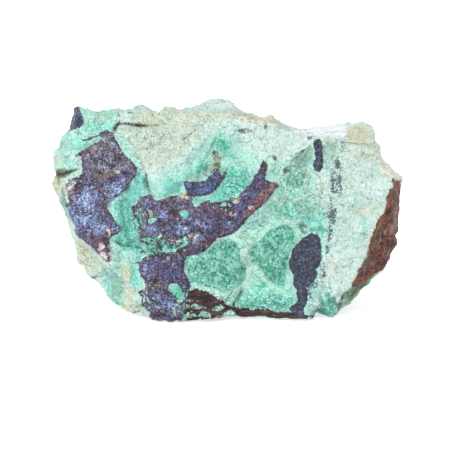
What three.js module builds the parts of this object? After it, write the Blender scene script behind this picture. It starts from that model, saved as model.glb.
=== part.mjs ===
// A hand-sized boulder of Transvaal jade, the massive green garnet: one broken block of stone that stands on its
// flat underside. Its broad face leans back a little, a weathered crest runs along the top, and the back is a
// rough break of a few large planes.
//
// The block is drawn as a mason would draw it: outlines and heights laid out on the broad face. In that drawing
// a runs right, b runs up the leaning face and c runs away from the viewer, all in millimetres. place() then
// stands the drawing up in the part's frame: X right, Y away, Z up, with the origin under the middle of the block.

import * as THREE from "three";
import { mergeVertices } from "three/addons/utils/BufferGeometryUtils.js";

// ---------------------------------------------------------------- driving dimensions (millimetres)

const LEAN = THREE.MathUtils.degToRad(10); // how far the broad face leans back
const EYE_DISTANCE = 469; // the outlines are drawn in perspective, as seen from this far in front
const EYE_A = -0.75; // where the line of sight meets the drawing
const EYE_B = 23.25;
const SHIFT = new THREE.Vector3(0.2, -5.2, -2.5); // centres the block over the origin and sets it on the ground

const CENTRE_A = 0; // the outlines are read by their angle round this point
const CENTRE_B = 25.75;
const HALF_WIDTH = 43.5;
const HALF_HEIGHT = 27.5;

// Cells of the grid that is wrapped round the block, so that a cell is a little under 2 mm.
const COLUMNS = 50;
const ROWS = 32;
const BANDS = 10;

// The outermost outline [a, b, c], clockwise from the horn at the top left. Its corners are real corners.
const SILHOUETTE = [
  [-39.75, 47.5, -4], [-39.25, 50.25, -3], [-38.5, 52.25, -2], [-36.75, 52.5, -1], [-35.25, 52.75, 0],
  [-33.25, 51.6, 0], [-29, 52.1, 2], [-25, 52, 3], [-23.5, 52.75, 3], [-21.25, 53.25, 4], [-19.5, 52.4, 4],
  [-17.5, 52, 4], [-15.75, 52.75, 5], [-14.25, 52.9, 5], [-12.75, 51.9, 5], [-11.5, 51.9, 5], [-10.5, 52.9, 6],
  [-9, 52.6, 6], [-7.25, 53.25, 6], [-6.25, 53.9, 7], [-3.5, 54.75, 7], [-1.75, 55, 7], [0.5, 54.1, 7],
  [1.5, 53.4, 7], [2, 52.25, 6], [3.25, 51.5, 4], [6.25, 50.6, 2], [8.75, 50.25, 2], [11.25, 50.75, 2],
  [11.75, 49.5, 2], [14.2, 47.5, 3], [16.5, 46.9, 5], [21.75, 47.6, 10], [29.25, 48.9, 9], [34.25, 49.6, 6],
  [35.75, 48.6, 5], [36.75, 46.75, 4], [37, 44.25, 3], [38, 40.5, 1], [39.6, 38.9, 0], [43.8, 34.9, -2],
  [43, 30.75, -2], [42.4, 22.75, 0], [42.1, 20.5, 0], [42.6, 18.6, 0], [38.5, 11.75, -2], [34.5, 7.9, -5],
  [33.25, 6.25, -6], [29.9, 3, -8], [27.8, 1.5, -10], [26.6, -0.2, -12], [22.5, 1, -11], [20.75, -0.25, -15],
  [10.5, 0, -14], [0.5, 0.25, -13], [-12, -0.9, -17], [-18.75, -0.25, -15], [-22.25, 0.5, -12],
  [-24.4, 1.3, -11], [-27, 2.6, -9], [-29.6, 4.5, -7], [-30.9, 6.5, -6], [-32.2, 9, -5], [-34.8, 10.6, -4],
  [-35.9, 12.9, -3], [-37.3, 14.7, -3], [-38.9, 20.1, -4], [-41.1, 26.3, -4], [-43.4, 32.3, -2], [-43.5, 36.75, -2],
  [-44.1, 39.5, -2], [-43.8, 41.4, -2], [-42.25, 43.25, -2], [-41.5, 46, -3],
];

// The edge where the broad face turns into the sides [a, b], clockwise from the top left.
const FACE_EDGE = [
  [-36.5, 48], [-37, 51], [-34.5, 51], [-27, 51.4], [-18.25, 51.2], [-8.25, 51.4], [1, 51.2], [4.25, 50.1],
  [11.75, 48.6], [14, 47.4], [18.5, 45.2], [26.75, 44.5], [34.25, 43], [36.25, 42], [37.5, 40], [41.5, 34.5],
  [40.5, 30.75], [39, 26.5], [37.25, 23], [35.5, 19.25], [34.5, 15.5], [32.5, 12], [30.75, 8], [25.5, 5.25],
  [21.75, 1.75], [19.25, 0.5], [15.5, 1.5], [6, 3.1], [-1, 3], [-7, 0.75], [-11.5, -0.4], [-19, 1], [-22, 3.25],
  [-25, 6.5], [-27.75, 10.25], [-31, 14], [-37, 20], [-39, 25], [-40.5, 29.5], [-41, 32.5], [-40, 34.5],
  [-38.5, 37.5], [-37.75, 42], [-37.25, 45.5],
];

// The edge where the sides turn into the back [a, b]. Its lower side lies under the ground line.
const BACK_EDGE = [
  [-35, 43], [-24, 49], [-8, 51.5], [10, 47.5], [26, 45.5], [33.5, 39], [38, 29], [35.5, 17], [29, 8], [15, 3],
  [0, 2], [-15, 3], [-27, 8.5], [-34, 19], [-38, 31],
];

// Fracture planes of the broad face: place, height towards the viewer, and slope of the height along a and b.
const FACE_PLANES = [
  { name: "top left block", a: -32.5, b: 49.5, height: 11.8, slopeA: 0.05, slopeB: -0.3 },
  { name: "weathered band, left", a: -19.5, b: 50, height: 12.6, slopeA: 0, slopeB: -0.4 },
  { name: "weathered band, middle", a: -7, b: 49.5, height: 13.2, slopeA: 0, slopeB: -0.4 },
  { name: "weathered band, right", a: 6, b: 48, height: 13.2, slopeA: 0, slopeB: -0.35 },
  { name: "cream wedge", a: -17, b: 40, height: 16.2, slopeA: 0.05, slopeB: -0.14 },
  { name: "mint slope", a: -6, b: 42.5, height: 15, slopeA: -0.2, slopeB: -0.02 },
  { name: "upper centre", a: 6, b: 41, height: 15.4, slopeA: 0.02, slopeB: -0.16 },
  { name: "upper left crust", a: -30.5, b: 39, height: 13.6, slopeA: 0.14, slopeB: -0.1 },
  { name: "lower left crust", a: -34.5, b: 25.75, height: 12.8, slopeA: 0.22, slopeB: 0.02 },
  { name: "channel", a: -25, b: 29.5, height: 13.9, slopeA: 0.05, slopeB: 0 },
  { name: "middle crust", a: -12, b: 26, height: 16.4, slopeA: 0, slopeB: 0.03 },
  { name: "crust arm", a: 5.5, b: 31, height: 15.8, slopeA: 0, slopeB: -0.02 },
  { name: "green wedge", a: 18, b: 36, height: 14.6, slopeA: 0.03, slopeB: -0.1 },
  { name: "right shoulder", a: 30.5, b: 38, height: 13.4, slopeA: -0.18, slopeB: -0.14 },
  { name: "right flat", a: 30, b: 24.5, height: 14.2, slopeA: -0.14, slopeB: 0.02 },
  { name: "right foot", a: 27, b: 11, height: 14.8, slopeA: -0.1, slopeB: 0.1 },
  { name: "left nodule", a: -2.75, b: 11.5, height: 16.2, slopeA: -0.02, slopeB: 0.02 },
  { name: "right nodule", a: 11.75, b: 16, height: 16, slopeA: -0.02, slopeB: 0 },
  { name: "dark patch", a: 19.5, b: 13.5, height: 15.3, slopeA: 0, slopeB: 0.04 },
  { name: "lower crust", a: -16, b: 9, height: 16.1, slopeA: 0.03, slopeB: 0.06 },
  { name: "lower left slope", a: -29.5, b: 11, height: 10.4, slopeA: 0.36, slopeB: 0.16 },
  { name: "lower left rib", a: -24.5, b: 15, height: 13.2, slopeA: 0.24, slopeB: 0.1 },
  { name: "left foot", a: -23.5, b: 5, height: 12.2, slopeA: 0.3, slopeB: 0.2 },
  { name: "fan", a: 9, b: 5, height: 15.6, slopeA: 0, slopeB: 0.12 },
];

// Fracture planes of the back: place, height away from the viewer, and its slopes.
const BACK_PLANES = [
  { name: "upper left break", a: -24, b: 38, height: 14, slopeA: 0.2, slopeB: -0.2 },
  { name: "upper break", a: 0, b: 41, height: 17, slopeA: 0.02, slopeB: -0.24 },
  { name: "upper right break", a: 23, b: 36, height: 16, slopeA: -0.2, slopeB: -0.16 },
  { name: "left break", a: -26, b: 19, height: 17, slopeA: 0.24, slopeB: 0.04 },
  { name: "keel", a: -3, b: 23, height: 21.5, slopeA: 0.03, slopeB: -0.06 },
  { name: "right break", a: 23, b: 19, height: 18.5, slopeA: -0.26, slopeB: 0.02 },
  { name: "lower break", a: 2, b: 8, height: 20.5, slopeA: 0, slopeB: 0.12 },
];
const PLANE_CRISPNESS = 0.075; // how sharply one fracture plane gives way to the next, per square millimetre

// Raised or sunk forms of the broad face [a, b], each an ellipse turned by a number of degrees.
const FACE_FORMS = [
  { name: "left nodule", a: -2.75, b: 11.5, reachA: 7.6, reachB: 7.2, turn: 20, rise: 1.3 },
  { name: "right nodule", a: 11.5, b: 15.5, reachA: 5.4, reachB: 8, turn: -30, rise: 1.2 },
  { name: "groove between the nodules", a: 5, b: 12, reachA: 1.4, reachB: 9, turn: -14, rise: -0.7 },
  { name: "wedge apex", a: -18.5, b: 34, reachA: 6, reachB: 7.5, turn: 10, rise: 1.1 },
  { name: "hollow under the mint slope", a: -5, b: 33.5, reachA: 4, reachB: 5.5, turn: -40, rise: -1.7 },
  { name: "channel, upper", a: -26.5, b: 36.5, reachA: 2, reachB: 9, turn: 35, rise: -0.9 },
  { name: "channel, lower", a: -24, b: 25, reachA: 3, reachB: 9, turn: 8, rise: -1.5 },
  { name: "crust arm", a: 6.5, b: 30, reachA: 12, reachB: 2.6, turn: 40, rise: 0.6 },
  { name: "step beside the arm", a: 18.5, b: 33, reachA: 2, reachB: 7, turn: 0, rise: -0.6 },
];

// Rounded lumps of the weathered crest [a, c], with their reach and rise.
const CREST_LUMPS = [
  { a: -22, c: 7, reach: 4, rise: 0.9 }, { a: -15, c: 9, reach: 3.6, rise: 0.8 },
  { a: -9.5, c: 11, reach: 3.8, rise: 1 }, { a: -3, c: 11, reach: 4.6, rise: 1.2 },
  { a: -17, c: 0, reach: 3.4, rise: 0.7 }, { a: -7, c: 1, reach: 3.6, rise: 0.8 },
  { a: 5, c: 10, reach: 4, rise: 0.8 }, { a: 3, c: -2, reach: 3.6, rise: 0.7 },
  { a: -29, c: 9, reach: 4.2, rise: 0.8 }, { a: 12, c: 9, reach: 3.8, rise: 0.7 },
];
const CREST_B = 47; // the crest is what lies above this line

// Scooped breaks of the sides and the back: shallow bowls that meet in sharp ridges.
const SCOOPS = 64;
const SCOOP_RISE = 0.9; // how far one bowl's bottom may lie above or below the mean
const SCOOP_TILT = 0.16;
const SCOOP_CURVE = 0.017; // how fast a bowl rises from its bottom, per square millimetre
const SCOOP_MEAN = 0.6; // height that leaves the block its size
const BODY_HALF = new THREE.Vector3(41, 27, 19); // half sizes of the body that the bowls are spread over
const BODY_MIDDLE = new THREE.Vector3(0, 26, 2);

// Lumps of the broken stone, one size of them in each octave.
const LUMP_SIZE = 11;
const LUMP_RISE = 0.75;
const LUMP_OCTAVES = 3;

// ---------------------------------------------------------------- small tools

const { lerp, smoothstep, degToRad } = THREE.MathUtils;

/** A repeatable number from 0 to 1 for any number. */
const scatter = (n) => {
  const s = Math.sin(n) * 43758.5453;
  return s - Math.floor(s);
};

/** Smooth noise from -1 to 1 in three dimensions, with cells one unit wide. */
function noise(x, y, z) {
  const [ix, iy, iz] = [x, y, z].map(Math.floor);
  const [u, v, w] = [x - ix, y - iy, z - iz].map((t) => t * t * (3 - 2 * t));
  const corner = (i, j, k) => scatter((ix + i) * 12.9898 + (iy + j) * 78.233 + (iz + k) * 37.719);
  const edge = (j, k) => lerp(corner(0, j, k), corner(1, j, k), u);
  return 2 * lerp(lerp(edge(0, 0), edge(1, 0), v), lerp(edge(0, 1), edge(1, 1), v), w) - 1;
}

/** Noise of several octaves, the first one size millimetres wide. */
function lumps(point, size, octaves) {
  let sum = 0;
  for (let octave = 0; octave < octaves; octave++) {
    const scale = 2 ** octave / size;
    sum += noise(point.x * scale + 7 * octave, point.y * scale, point.z * scale) / 2 ** octave;
  }
  return sum;
}

/** Height at (a, b) of a set of fracture planes: each holds sway round its own place. */
function heightOf(planes, a, b) {
  let height = 0;
  let share = 0;
  for (const plane of planes) {
    const da = a - plane.a;
    const db = b - plane.b;
    const sway = Math.exp(-PLANE_CRISPNESS * (da * da + db * db));
    height += sway * (plane.height + plane.slopeA * da + plane.slopeB * db);
    share += sway;
  }
  return height / share;
}

/** Height at (a, b) of the raised and sunk forms of the broad face: round-topped ellipses. */
function formsHeight(a, b) {
  let height = 0;
  for (const form of FACE_FORMS) {
    const turn = degToRad(form.turn);
    const da = a - form.a;
    const db = b - form.b;
    const along = (da * Math.cos(turn) + db * Math.sin(turn)) / form.reachA;
    const across = (db * Math.cos(turn) - da * Math.sin(turn)) / form.reachB;
    height += form.rise * smoothstep(1.15 - Math.hypot(along, across), 0, 0.6);
  }
  return height;
}

/** A closed outline that is read by its angle round the drawing's centre. */
class Outline {
  /** @param {number[][]} points corners [a, b] or [a, b, c], in order round the centre */
  constructor(points) {
    this.corners = points
      .map((point) => ({ angle: Math.atan2(point[1] - CENTRE_B, point[0] - CENTRE_A), point }))
      .sort((one, other) => one.angle - other.angle);
  }

  /** The point of the outline at an angle, on the straight line between two corners. */
  at(angle) {
    const count = this.corners.length;
    const next = this.corners.findIndex((corner) => corner.angle > angle);
    const high = this.corners[next < 0 ? 0 : next];
    const low = this.corners[(next < 0 ? count : next + count) - 1 - (next > 0 ? count : 0)];
    const span = (high.angle - low.angle + 2 * Math.PI) % (2 * Math.PI);
    const share = ((angle - low.angle + 2 * Math.PI) % (2 * Math.PI)) / span;
    return low.point.map((value, i) => lerp(value, high.point[i], share));
  }
}

// ---------------------------------------------------------------- the block

const silhouette = new Outline(SILHOUETTE);
const faceEdge = new Outline(FACE_EDGE);
const backEdge = new Outline(BACK_EDGE);

/** Depth of the broad face at (a, b); it is towards the viewer, so c is negative. */
const faceDepth = (a, b) => -heightOf(FACE_PLANES, a, b) - formsHeight(a, b);

/** Depth of the back at (a, b). */
const backDepth = (a, b) => heightOf(BACK_PLANES, a, b);

/** A point part of the way from the drawing's centre to an outline. */
function towardsEdge(outline, angle, share) {
  const [a, b] = outline.at(angle);
  return [lerp(CENTRE_A, a, share), lerp(CENTRE_B, b, share)];
}

/**
 * The block before it is chipped.
 * @param {number} angle round the centre
 * @param {number} depth -1 on the broad face, 1 on the back, and between them on the sides
 * @param {number} share 0 at the middle of the broad face or the back, 1 at their edges and on the sides
 */
function blockPoint(angle, depth, share) {
  if (depth <= -1) {
    const [a, b] = towardsEdge(faceEdge, angle, share);
    return new THREE.Vector3(a, b, faceDepth(a, b));
  }
  if (depth >= 1) {
    const [a, b] = towardsEdge(backEdge, angle, share);
    return new THREE.Vector3(a, b, backDepth(a, b));
  }
  const rim = new THREE.Vector3(...silhouette.at(angle));
  const edge = blockPoint(angle, Math.sign(depth) || 1, 1);
  return edge.lerp(rim, 1 - Math.abs(depth));
}

/** Bottoms of the bowls: places spread evenly over the body, each with a height and a tilt of its own. */
const scoops = Array.from({ length: SCOOPS }, (_, n) => {
  const level = 1 - (2 * n + 1) / SCOOPS;
  const turn = n * Math.PI * (3 - Math.sqrt(5));
  const ring = Math.sqrt(1 - level * level);
  const place = new THREE.Vector3(ring * Math.cos(turn), ring * Math.sin(turn), level);
  const tilt = new THREE.Vector3(scatter(n * 3.71 + 2), scatter(n * 9.13 + 3), scatter(n * 6.29 + 4));
  return {
    place: place.multiply(BODY_HALF).add(BODY_MIDDLE),
    rise: SCOOP_RISE * (2 * scatter(n * 5.17 + 1) - 1),
    tilt: tilt.subScalar(0.5).multiplyScalar(2 * SCOOP_TILT),
  };
});

/** How far the broken surface stands out at a point: the lowest of all the bowls there. */
function scoopRise(point) {
  const offset = new THREE.Vector3();
  const rises = scoops.map((scoop) => {
    offset.subVectors(point, scoop.place);
    return scoop.rise + scoop.tilt.dot(offset) + SCOOP_CURVE * offset.lengthSq();
  });
  return Math.min(...rises) - SCOOP_MEAN;
}

/** How far the lumps of the crest stand out at a point of the drawing. */
function crestRise(point) {
  const onTop = smoothstep(point.y, CREST_B, CREST_B + 3);
  let rise = 0;
  for (const lump of CREST_LUMPS) {
    const distance = Math.hypot(point.x - lump.a, point.z - lump.c) / lump.reach;
    rise = Math.max(rise, lump.rise * (1 - distance * distance));
  }
  return onTop * rise;
}

/** Breaks and lumps one point of the block. The silhouette keeps its outline, so the bowls fade there. */
function roughen(point, depth) {
  const outward = point.clone().sub(BODY_MIDDLE).divide(BODY_HALF).divide(BODY_HALF).normalize();
  const offRim = smoothstep(Math.abs(depth), 0, 0.5);
  const broken = offRim * smoothstep(depth, -1, -0.6);
  const lumpy = LUMP_RISE * lumps(point, LUMP_SIZE, LUMP_OCTAVES);
  const rise = broken * (scoopRise(point) + crestRise(point)) + offRim * lumpy;
  return point.addScaledVector(outward, rise);
}

/** Stands a point of the drawing up in the part's frame, no lower than the ground. */
function place(point) {
  const spread = 1 + point.z / EYE_DISTANCE;
  const a = EYE_A + (point.x - EYE_A) * spread;
  const b = EYE_B + (point.y - EYE_B) * spread;
  const x = a + SHIFT.x;
  const y = point.z * Math.cos(LEAN) + b * Math.sin(LEAN) + SHIFT.y;
  const z = b * Math.cos(LEAN) - point.z * Math.sin(LEAN) + SHIFT.z;
  return new THREE.Vector3(x, y, Math.max(z, 0));
}

/** The block's closed surface: a box grid wrapped round it, broad face to broad face. */
function boulderGeometry() {
  const grid = new THREE.BoxGeometry(2, 2, 2, COLUMNS, BANDS, ROWS);
  grid.deleteAttribute("normal");
  grid.deleteAttribute("uv");
  const wrapped = mergeVertices(grid);
  const position = wrapped.getAttribute("position");
  for (let i = 0; i < position.count; i++) {
    const [across, depth, up] = [position.getX(i), position.getY(i), position.getZ(i)];
    const angle = Math.atan2(up * HALF_HEIGHT, across * HALF_WIDTH);
    const share = Math.max(Math.abs(across), Math.abs(up));
    const point = place(roughen(blockPoint(angle, depth, share), depth));
    position.setXYZ(i, point.x, point.y, point.z);
  }
  return wrapped;
}

const stone = new THREE.MeshStandardMaterial({ color: 0xa9d2c1, roughness: 0.8, metalness: 0 });

const boulder = new THREE.Mesh(boulderGeometry(), stone);
boulder.name = "boulder";

const part = new THREE.Group();
part.name = "transvaal_jade_boulder";
part.add(boulder);

export default part;
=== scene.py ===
"""Dresses the Transvaal jade boulder: one broken block of massive green garnet on a plain pale floor.

The stone is drawn in the same way as its CAD solid: outlines, planes and markings are laid out on the broad
face, in millimetres. In that drawing a runs right, b up the leaning face and c away from the viewer.
Drawing.stand_up puts the drawing into the frame. The fine surface adds what the faceted solid leaves out:
crusts, ledges, breaks and grain.
"""

import itertools
import logging
import math
from dataclasses import dataclass
from enum import Enum

import bpy
import numpy as np
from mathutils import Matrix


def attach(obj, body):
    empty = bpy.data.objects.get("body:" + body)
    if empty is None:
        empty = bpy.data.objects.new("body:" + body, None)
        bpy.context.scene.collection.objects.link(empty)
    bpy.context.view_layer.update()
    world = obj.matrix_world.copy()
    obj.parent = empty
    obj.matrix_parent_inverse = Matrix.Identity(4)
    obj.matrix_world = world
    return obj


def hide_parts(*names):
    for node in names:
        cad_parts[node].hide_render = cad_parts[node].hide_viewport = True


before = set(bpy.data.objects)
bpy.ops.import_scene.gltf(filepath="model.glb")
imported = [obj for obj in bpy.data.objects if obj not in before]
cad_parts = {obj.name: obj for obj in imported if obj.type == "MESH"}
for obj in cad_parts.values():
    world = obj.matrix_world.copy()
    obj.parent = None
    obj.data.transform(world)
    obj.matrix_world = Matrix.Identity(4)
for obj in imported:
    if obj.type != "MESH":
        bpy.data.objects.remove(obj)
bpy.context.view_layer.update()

Array = np.ndarray
Triple = tuple[float, float, float]
Colour = Triple
Points = tuple[tuple[float, ...], ...]
Socket = bpy.types.NodeSocket

LOG = logging.getLogger("boulder")
MM = 0.001


# ---------------------------------------------------------------- small tools

SCATTER_SCALE = 43758.5453  # so large that near seeds give unlike fractions
CORNER_SEEDS = (12.9898, 78.233, 37.719)  # turn a corner's whole numbers into the seed of its noise
BOWL_SEEDS = (27.17, 61.93, 11.37)  # and those of a cell into the seed of its bowl
OCTAVE_SHIFT = 7  # how many cells off each octave is read


def srgb(red: int, green: int, blue: int) -> Colour:
    """A colour as light, from its 8-bit screen values."""
    shares = (value / 255 for value in (red, green, blue))
    return tuple(s / 12.92 if s <= 0.04045 else ((s + 0.055) / 1.055) ** 2.4 for s in shares)


def smoothstep(value: Array, low: float, high: float) -> Array:
    """0 below low, 1 above high, and the cubic 3t^2 - 2t^3 between them."""
    share = np.clip((value - low) / (high - low), 0, 1)
    return share * share * (3 - 2 * share)


def scatter(seed: Array) -> Array:
    """Repeatable numbers from 0 to 1: the fraction of a large multiple of the sine."""
    wave = np.sin(seed) * SCATTER_SCALE
    return wave - np.floor(wave)


def noise(points: Array) -> Array:
    """Smooth noise with cells one unit wide: the corners' random numbers, blended smoothly.

    Args:
        points: places, one row of three numbers each.

    Returns:
        The noise at each place, from -1 to 1.
    """
    cell = np.floor(points)
    share = points - cell
    share = share * share * (3 - 2 * share)
    value = np.zeros(len(points))
    for corner in itertools.product((0, 1), repeat=3):
        weight = np.prod(np.where(corner, share, 1 - share), axis=1)
        value += weight * scatter((cell + corner) @ CORNER_SEEDS)
    return 2 * value - 1


def lumps(points: Array, size: float, octaves: int) -> Array:
    """Noise of several octaves: each has cells half as wide as the last and half its height.

    Args:
        points: places in millimetres.
        size: width of the first octave's cells, in millimetres.
        octaves: how many are added.

    Returns:
        The sum at each place, from about -1 to 1.
    """
    total = np.zeros(len(points))
    for octave in range(octaves):
        scale = 2**octave / size
        total += noise(points * scale + (OCTAVE_SHIFT * octave, 0, 0)) / 2**octave
    return total


@dataclass(frozen=True)
class Lumps:
    """A layer of lumps that is read in several places.

    Attributes:
        size: width of its largest lumps in millimetres.
        octaves: how many sizes are added, each half as wide as the last.
        height: how high it is, in millimetres or in what it is added to.
        shift: how far off it is read, in millimetres, so that two layers differ.
    """

    size: float
    octaves: int
    height: float = 1.0
    shift: float = 0.0

    def at(self, points: Array) -> Array:
        """The layer's height at each place, from about -height to height."""
        return self.height * lumps(points + self.shift, self.size, self.octaves)


def breaks(points: Array, size: float, tilt: float, curve: float) -> Array:
    """Scooped breaks: each cell has a bowl at a random place, tilted at random, and the lowest bowl counts.

    Args:
        points: places in millimetres.
        size: width of a cell in millimetres.
        tilt: how steep the bowls lean.
        curve: how fast a bowl rises from its bottom.

    Returns:
        The height at each place in millimetres, with a mean near zero.
    """
    place = points / size
    cell = np.floor(place)
    lowest = np.full(len(points), np.inf)
    for step in itertools.product((-1, 0, 1), repeat=3):
        seed = (cell + step) @ BOWL_SEEDS
        bottom = np.stack([scatter(seed + n) for n in (1, 2, 3)], axis=1)
        lean = np.stack([scatter(seed + n) - 0.5 for n in (4, 5, 6)], axis=1)
        offset = place - cell - step - bottom
        rise = 2 * tilt * (offset * lean).sum(axis=1) + curve * (offset**2).sum(axis=1)
        lowest = np.minimum(lowest, rise)
    return size * (lowest - lowest.mean())


def line_depth(flat: Array, line: Points) -> Array:
    """How deep each place lies inside a line with a changing half width.

    Args:
        flat: the places (a, b).
        line: the line's corners (a, b, half width); between two corners all three change evenly.

    Returns:
        The depths in millimetres, negative outside the line.
    """
    corners = np.asarray(line, float)
    deepest = np.full(len(flat), -np.inf)
    for start, end in zip(corners, corners[1:]):
        run = end - start
        share = np.clip(((flat - start[:2]) @ run[:2]) / (run[:2] @ run[:2]), 0, 1)
        near = start + share[:, None] * run
        gap = np.hypot(flat[:, 0] - near[:, 0], flat[:, 1] - near[:, 1])
        deepest = np.maximum(deepest, near[:, 2] - gap)
    return deepest


def depth_inside(flat: Array, outline: Points) -> Array:
    """How deep each place lies inside a closed outline.

    Args:
        flat: the places (a, b).
        outline: the outline's corners (a, b).

    Returns:
        The depths in millimetres, negative outside the outline.
    """
    corners = np.asarray(outline, float)
    inside = np.zeros(len(flat), bool)
    for start, end in zip(corners, np.roll(corners, -1, axis=0)):
        if start[1] == end[1]:
            continue
        spans = (start[1] > flat[:, 1]) != (end[1] > flat[:, 1])
        slope = (end[0] - start[0]) / (end[1] - start[1])
        inside ^= spans & (flat[:, 0] < start[0] + slope * (flat[:, 1] - start[1]))
    border = np.column_stack([corners, np.zeros(len(corners))])
    gap = -line_depth(flat, np.vstack([border, border[:1]]))
    return np.where(inside, gap, -gap)


def box_grid(columns: int, bands: int, rows: int) -> tuple[Array, Array]:
    """The skin of a box from -1 to 1, divided into quads whose faces point out.

    Args:
        columns: cells across, from left to right.
        bands: cells in depth, from front to back.
        rows: cells up.

    Returns:
        The corners, one row (across, depth, up) each, and the four corner numbers of each quad.
    """
    cells = np.array([columns, bands, rows])
    sides = []
    for axis in range(3):
        first, second = (axis + 1) % 3, (axis + 2) % 3
        along, over = np.meshgrid(np.arange(cells[first]), np.arange(cells[second]), indexing="ij")
        for end in (0, cells[axis]):
            turn = ((0, 0), (1, 0), (1, 1), (0, 1)) if end else ((0, 0), (0, 1), (1, 1), (1, 0))
            side = np.full(along.shape + (4, 3), end)
            for corner, (step, rise) in enumerate(turn):
                side[..., corner, first] = along + step
                side[..., corner, second] = over + rise
            sides.append(side.reshape(-1, 3))
    every = np.concatenate(sides)
    key = (every[:, 0] * (bands + 1) + every[:, 1]) * (rows + 1) + every[:, 2]
    _, kept, numbers = np.unique(key, return_index=True, return_inverse=True)
    return 2 * every[kept] / cells - 1, numbers.reshape(-1, 4)


# ---------------------------------------------------------------- the form of the block


@dataclass(frozen=True)
class Drawing:
    """How the drawing of the broad face stands in the frame.

    Attributes:
        lean: how far the broad face leans back, in radians.
        eye_distance: the outlines are drawn in perspective, as seen from this far in front, in millimetres.
        eye_a, eye_b: where the line of sight meets the drawing.
        shift: puts the block over the origin and on the ground.
    """

    lean: float = math.radians(10)
    eye_distance: float = 469.0
    eye_a: float = -0.75
    eye_b: float = 23.25
    shift: Triple = (0.2, -5.2, -2.5)

    def stand_up(self, drawn: Array) -> Array:
        """Puts places of the drawing into the frame.

        The drawing spreads from the line of sight by 1 + c / eye distance, and then leans back.

        Args:
            drawn: places (a, b, c) in millimetres.

        Returns:
            The places (x, y, z) in metres, no lower than the ground.
        """
        a, b, c = drawn.T
        spread = 1 + c / self.eye_distance
        right = self.eye_a + (a - self.eye_a) * spread
        up = self.eye_b + (b - self.eye_b) * spread
        x = right + self.shift[0]
        y = c * math.cos(self.lean) + up * math.sin(self.lean) + self.shift[1]
        z = up * math.cos(self.lean) - c * math.sin(self.lean) + self.shift[2]
        return MM * np.stack([x, y, np.maximum(z, 0)], axis=1)

    def eye(self) -> Array:
        """Where the viewer's eye is, in metres."""
        seen = self.stand_up(np.array([[self.eye_a, self.eye_b, 0.0]]))[0]
        return seen - MM * self.eye_distance * self.sight()

    def sight(self) -> Array:
        """The direction that the viewer looks in."""
        return np.array([0.0, math.cos(self.lean), -math.sin(self.lean)])


DRAWING = Drawing()
MIDDLE = (0.0, 25.75)  # the outlines are read by their angle round this point
HALF_WIDTH = 43.5  # of the block as drawn, which sets the angles of the grid's cells
HALF_HEIGHT = 27.5

# The outermost outline (a, b, c), clockwise from the horn at the top left.
SILHOUETTE = (
    (-39.75, 47.5, -4), (-39.1, 49.9, -3), (-38.4, 51.3, -2), (-37, 51.8, -1), (-35.25, 52.1, 0),
    (-33.25, 51.2, 0), (-29, 51.4, 2), (-25, 51.7, 3), (-23.5, 52.75, 3), (-21.25, 53.25, 4),
    (-19.5, 52.4, 4), (-17.5, 52, 4), (-15.75, 52.75, 5), (-14.25, 52.9, 5), (-12.75, 51.9, 5),
    (-11.5, 51.9, 5), (-10.5, 52.9, 6), (-9, 52.6, 6), (-7.25, 53.25, 6), (-6.25, 53.9, 7), (-3.5, 54.75, 7),
    (-1.75, 55, 7), (0.5, 54.1, 7), (1.5, 53.4, 7), (2, 52.25, 6), (3.25, 51.5, 4), (6.25, 50.6, 2),
    (8.75, 50.25, 2), (11.25, 50.75, 2), (11.75, 49.5, 2), (14.2, 47.5, 3), (16.5, 46.9, 5),
    (21.75, 47.6, 10), (29.25, 48.9, 9), (34.25, 49.6, 6), (35.75, 48.6, 5), (36.75, 46.75, 4),
    (37, 44.25, 3), (38, 40.5, 1), (39.6, 38.9, 0), (43.8, 34.9, -2), (43, 30.75, -2), (42.4, 22.75, 0),
    (42.1, 20.5, 0), (42.6, 18.6, 0), (38.5, 11.75, -2), (34.5, 7.9, -5), (33.25, 6.25, -6), (29.9, 3, -8),
    (27.8, 1.5, -10), (26.6, -0.2, -12), (22.5, 1, -11), (20.75, -0.25, -15), (10.5, 0, -14),
    (0.5, 0.25, -13), (-12, -0.9, -17), (-18.75, -0.25, -15), (-22.25, 0.5, -12), (-24.4, 1.3, -11),
    (-27, 2.6, -9), (-29.6, 4.5, -7), (-30.9, 6.5, -6), (-32.2, 9, -5), (-34.8, 10.6, -4), (-35.9, 12.9, -3),
    (-37.3, 14.7, -3), (-38.9, 20.1, -4), (-41.1, 26.3, -4), (-43.4, 32.3, -2), (-43.5, 36.75, -2),
    (-44.1, 39.5, -2), (-43.8, 41.4, -2), (-42.25, 43.25, -2), (-41.5, 46, -3),
)

# Where the broad face turns into the sides (a, b), clockwise from the top left.
FACE_EDGE = (
    (-36.5, 48), (-37, 51), (-34.5, 51), (-27, 51.4), (-18.25, 51.2), (-8.25, 51.4), (1, 51.2), (4.25, 50.1),
    (11.75, 48.6), (14, 47.4), (18.5, 45.2), (26.75, 44.5), (34.25, 43), (36.25, 42), (37.5, 40),
    (41.5, 34.5), (40.5, 30.75), (39, 26.5), (37.25, 23), (35.5, 19.25), (34.5, 15.5), (32.5, 12),
    (30.75, 8), (25.5, 5.25), (21.75, 1.75), (19.25, 0.5), (15.5, 1.5), (6, 3.1), (-1, 3), (-7, 0.75),
    (-11.5, -0.4), (-19, 1), (-22, 3.25), (-25, 6.5), (-27.75, 10.25), (-31, 14), (-37, 20), (-39, 25),
    (-40.5, 29.5), (-41, 32.5), (-40, 34.5), (-38.5, 37.5), (-37.75, 42), (-37.25, 45.5),
)

# Where the sides turn into the back (a, b). Its lower side lies under the ground line.
BACK_EDGE = (
    (-35, 43), (-24, 49), (-8, 51.5), (10, 47.5), (26, 45.5), (33.5, 39), (38, 29), (35.5, 17), (29, 8),
    (15, 3), (0, 2), (-15, 3), (-27, 8.5), (-34, 19), (-38, 31),
)

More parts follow.
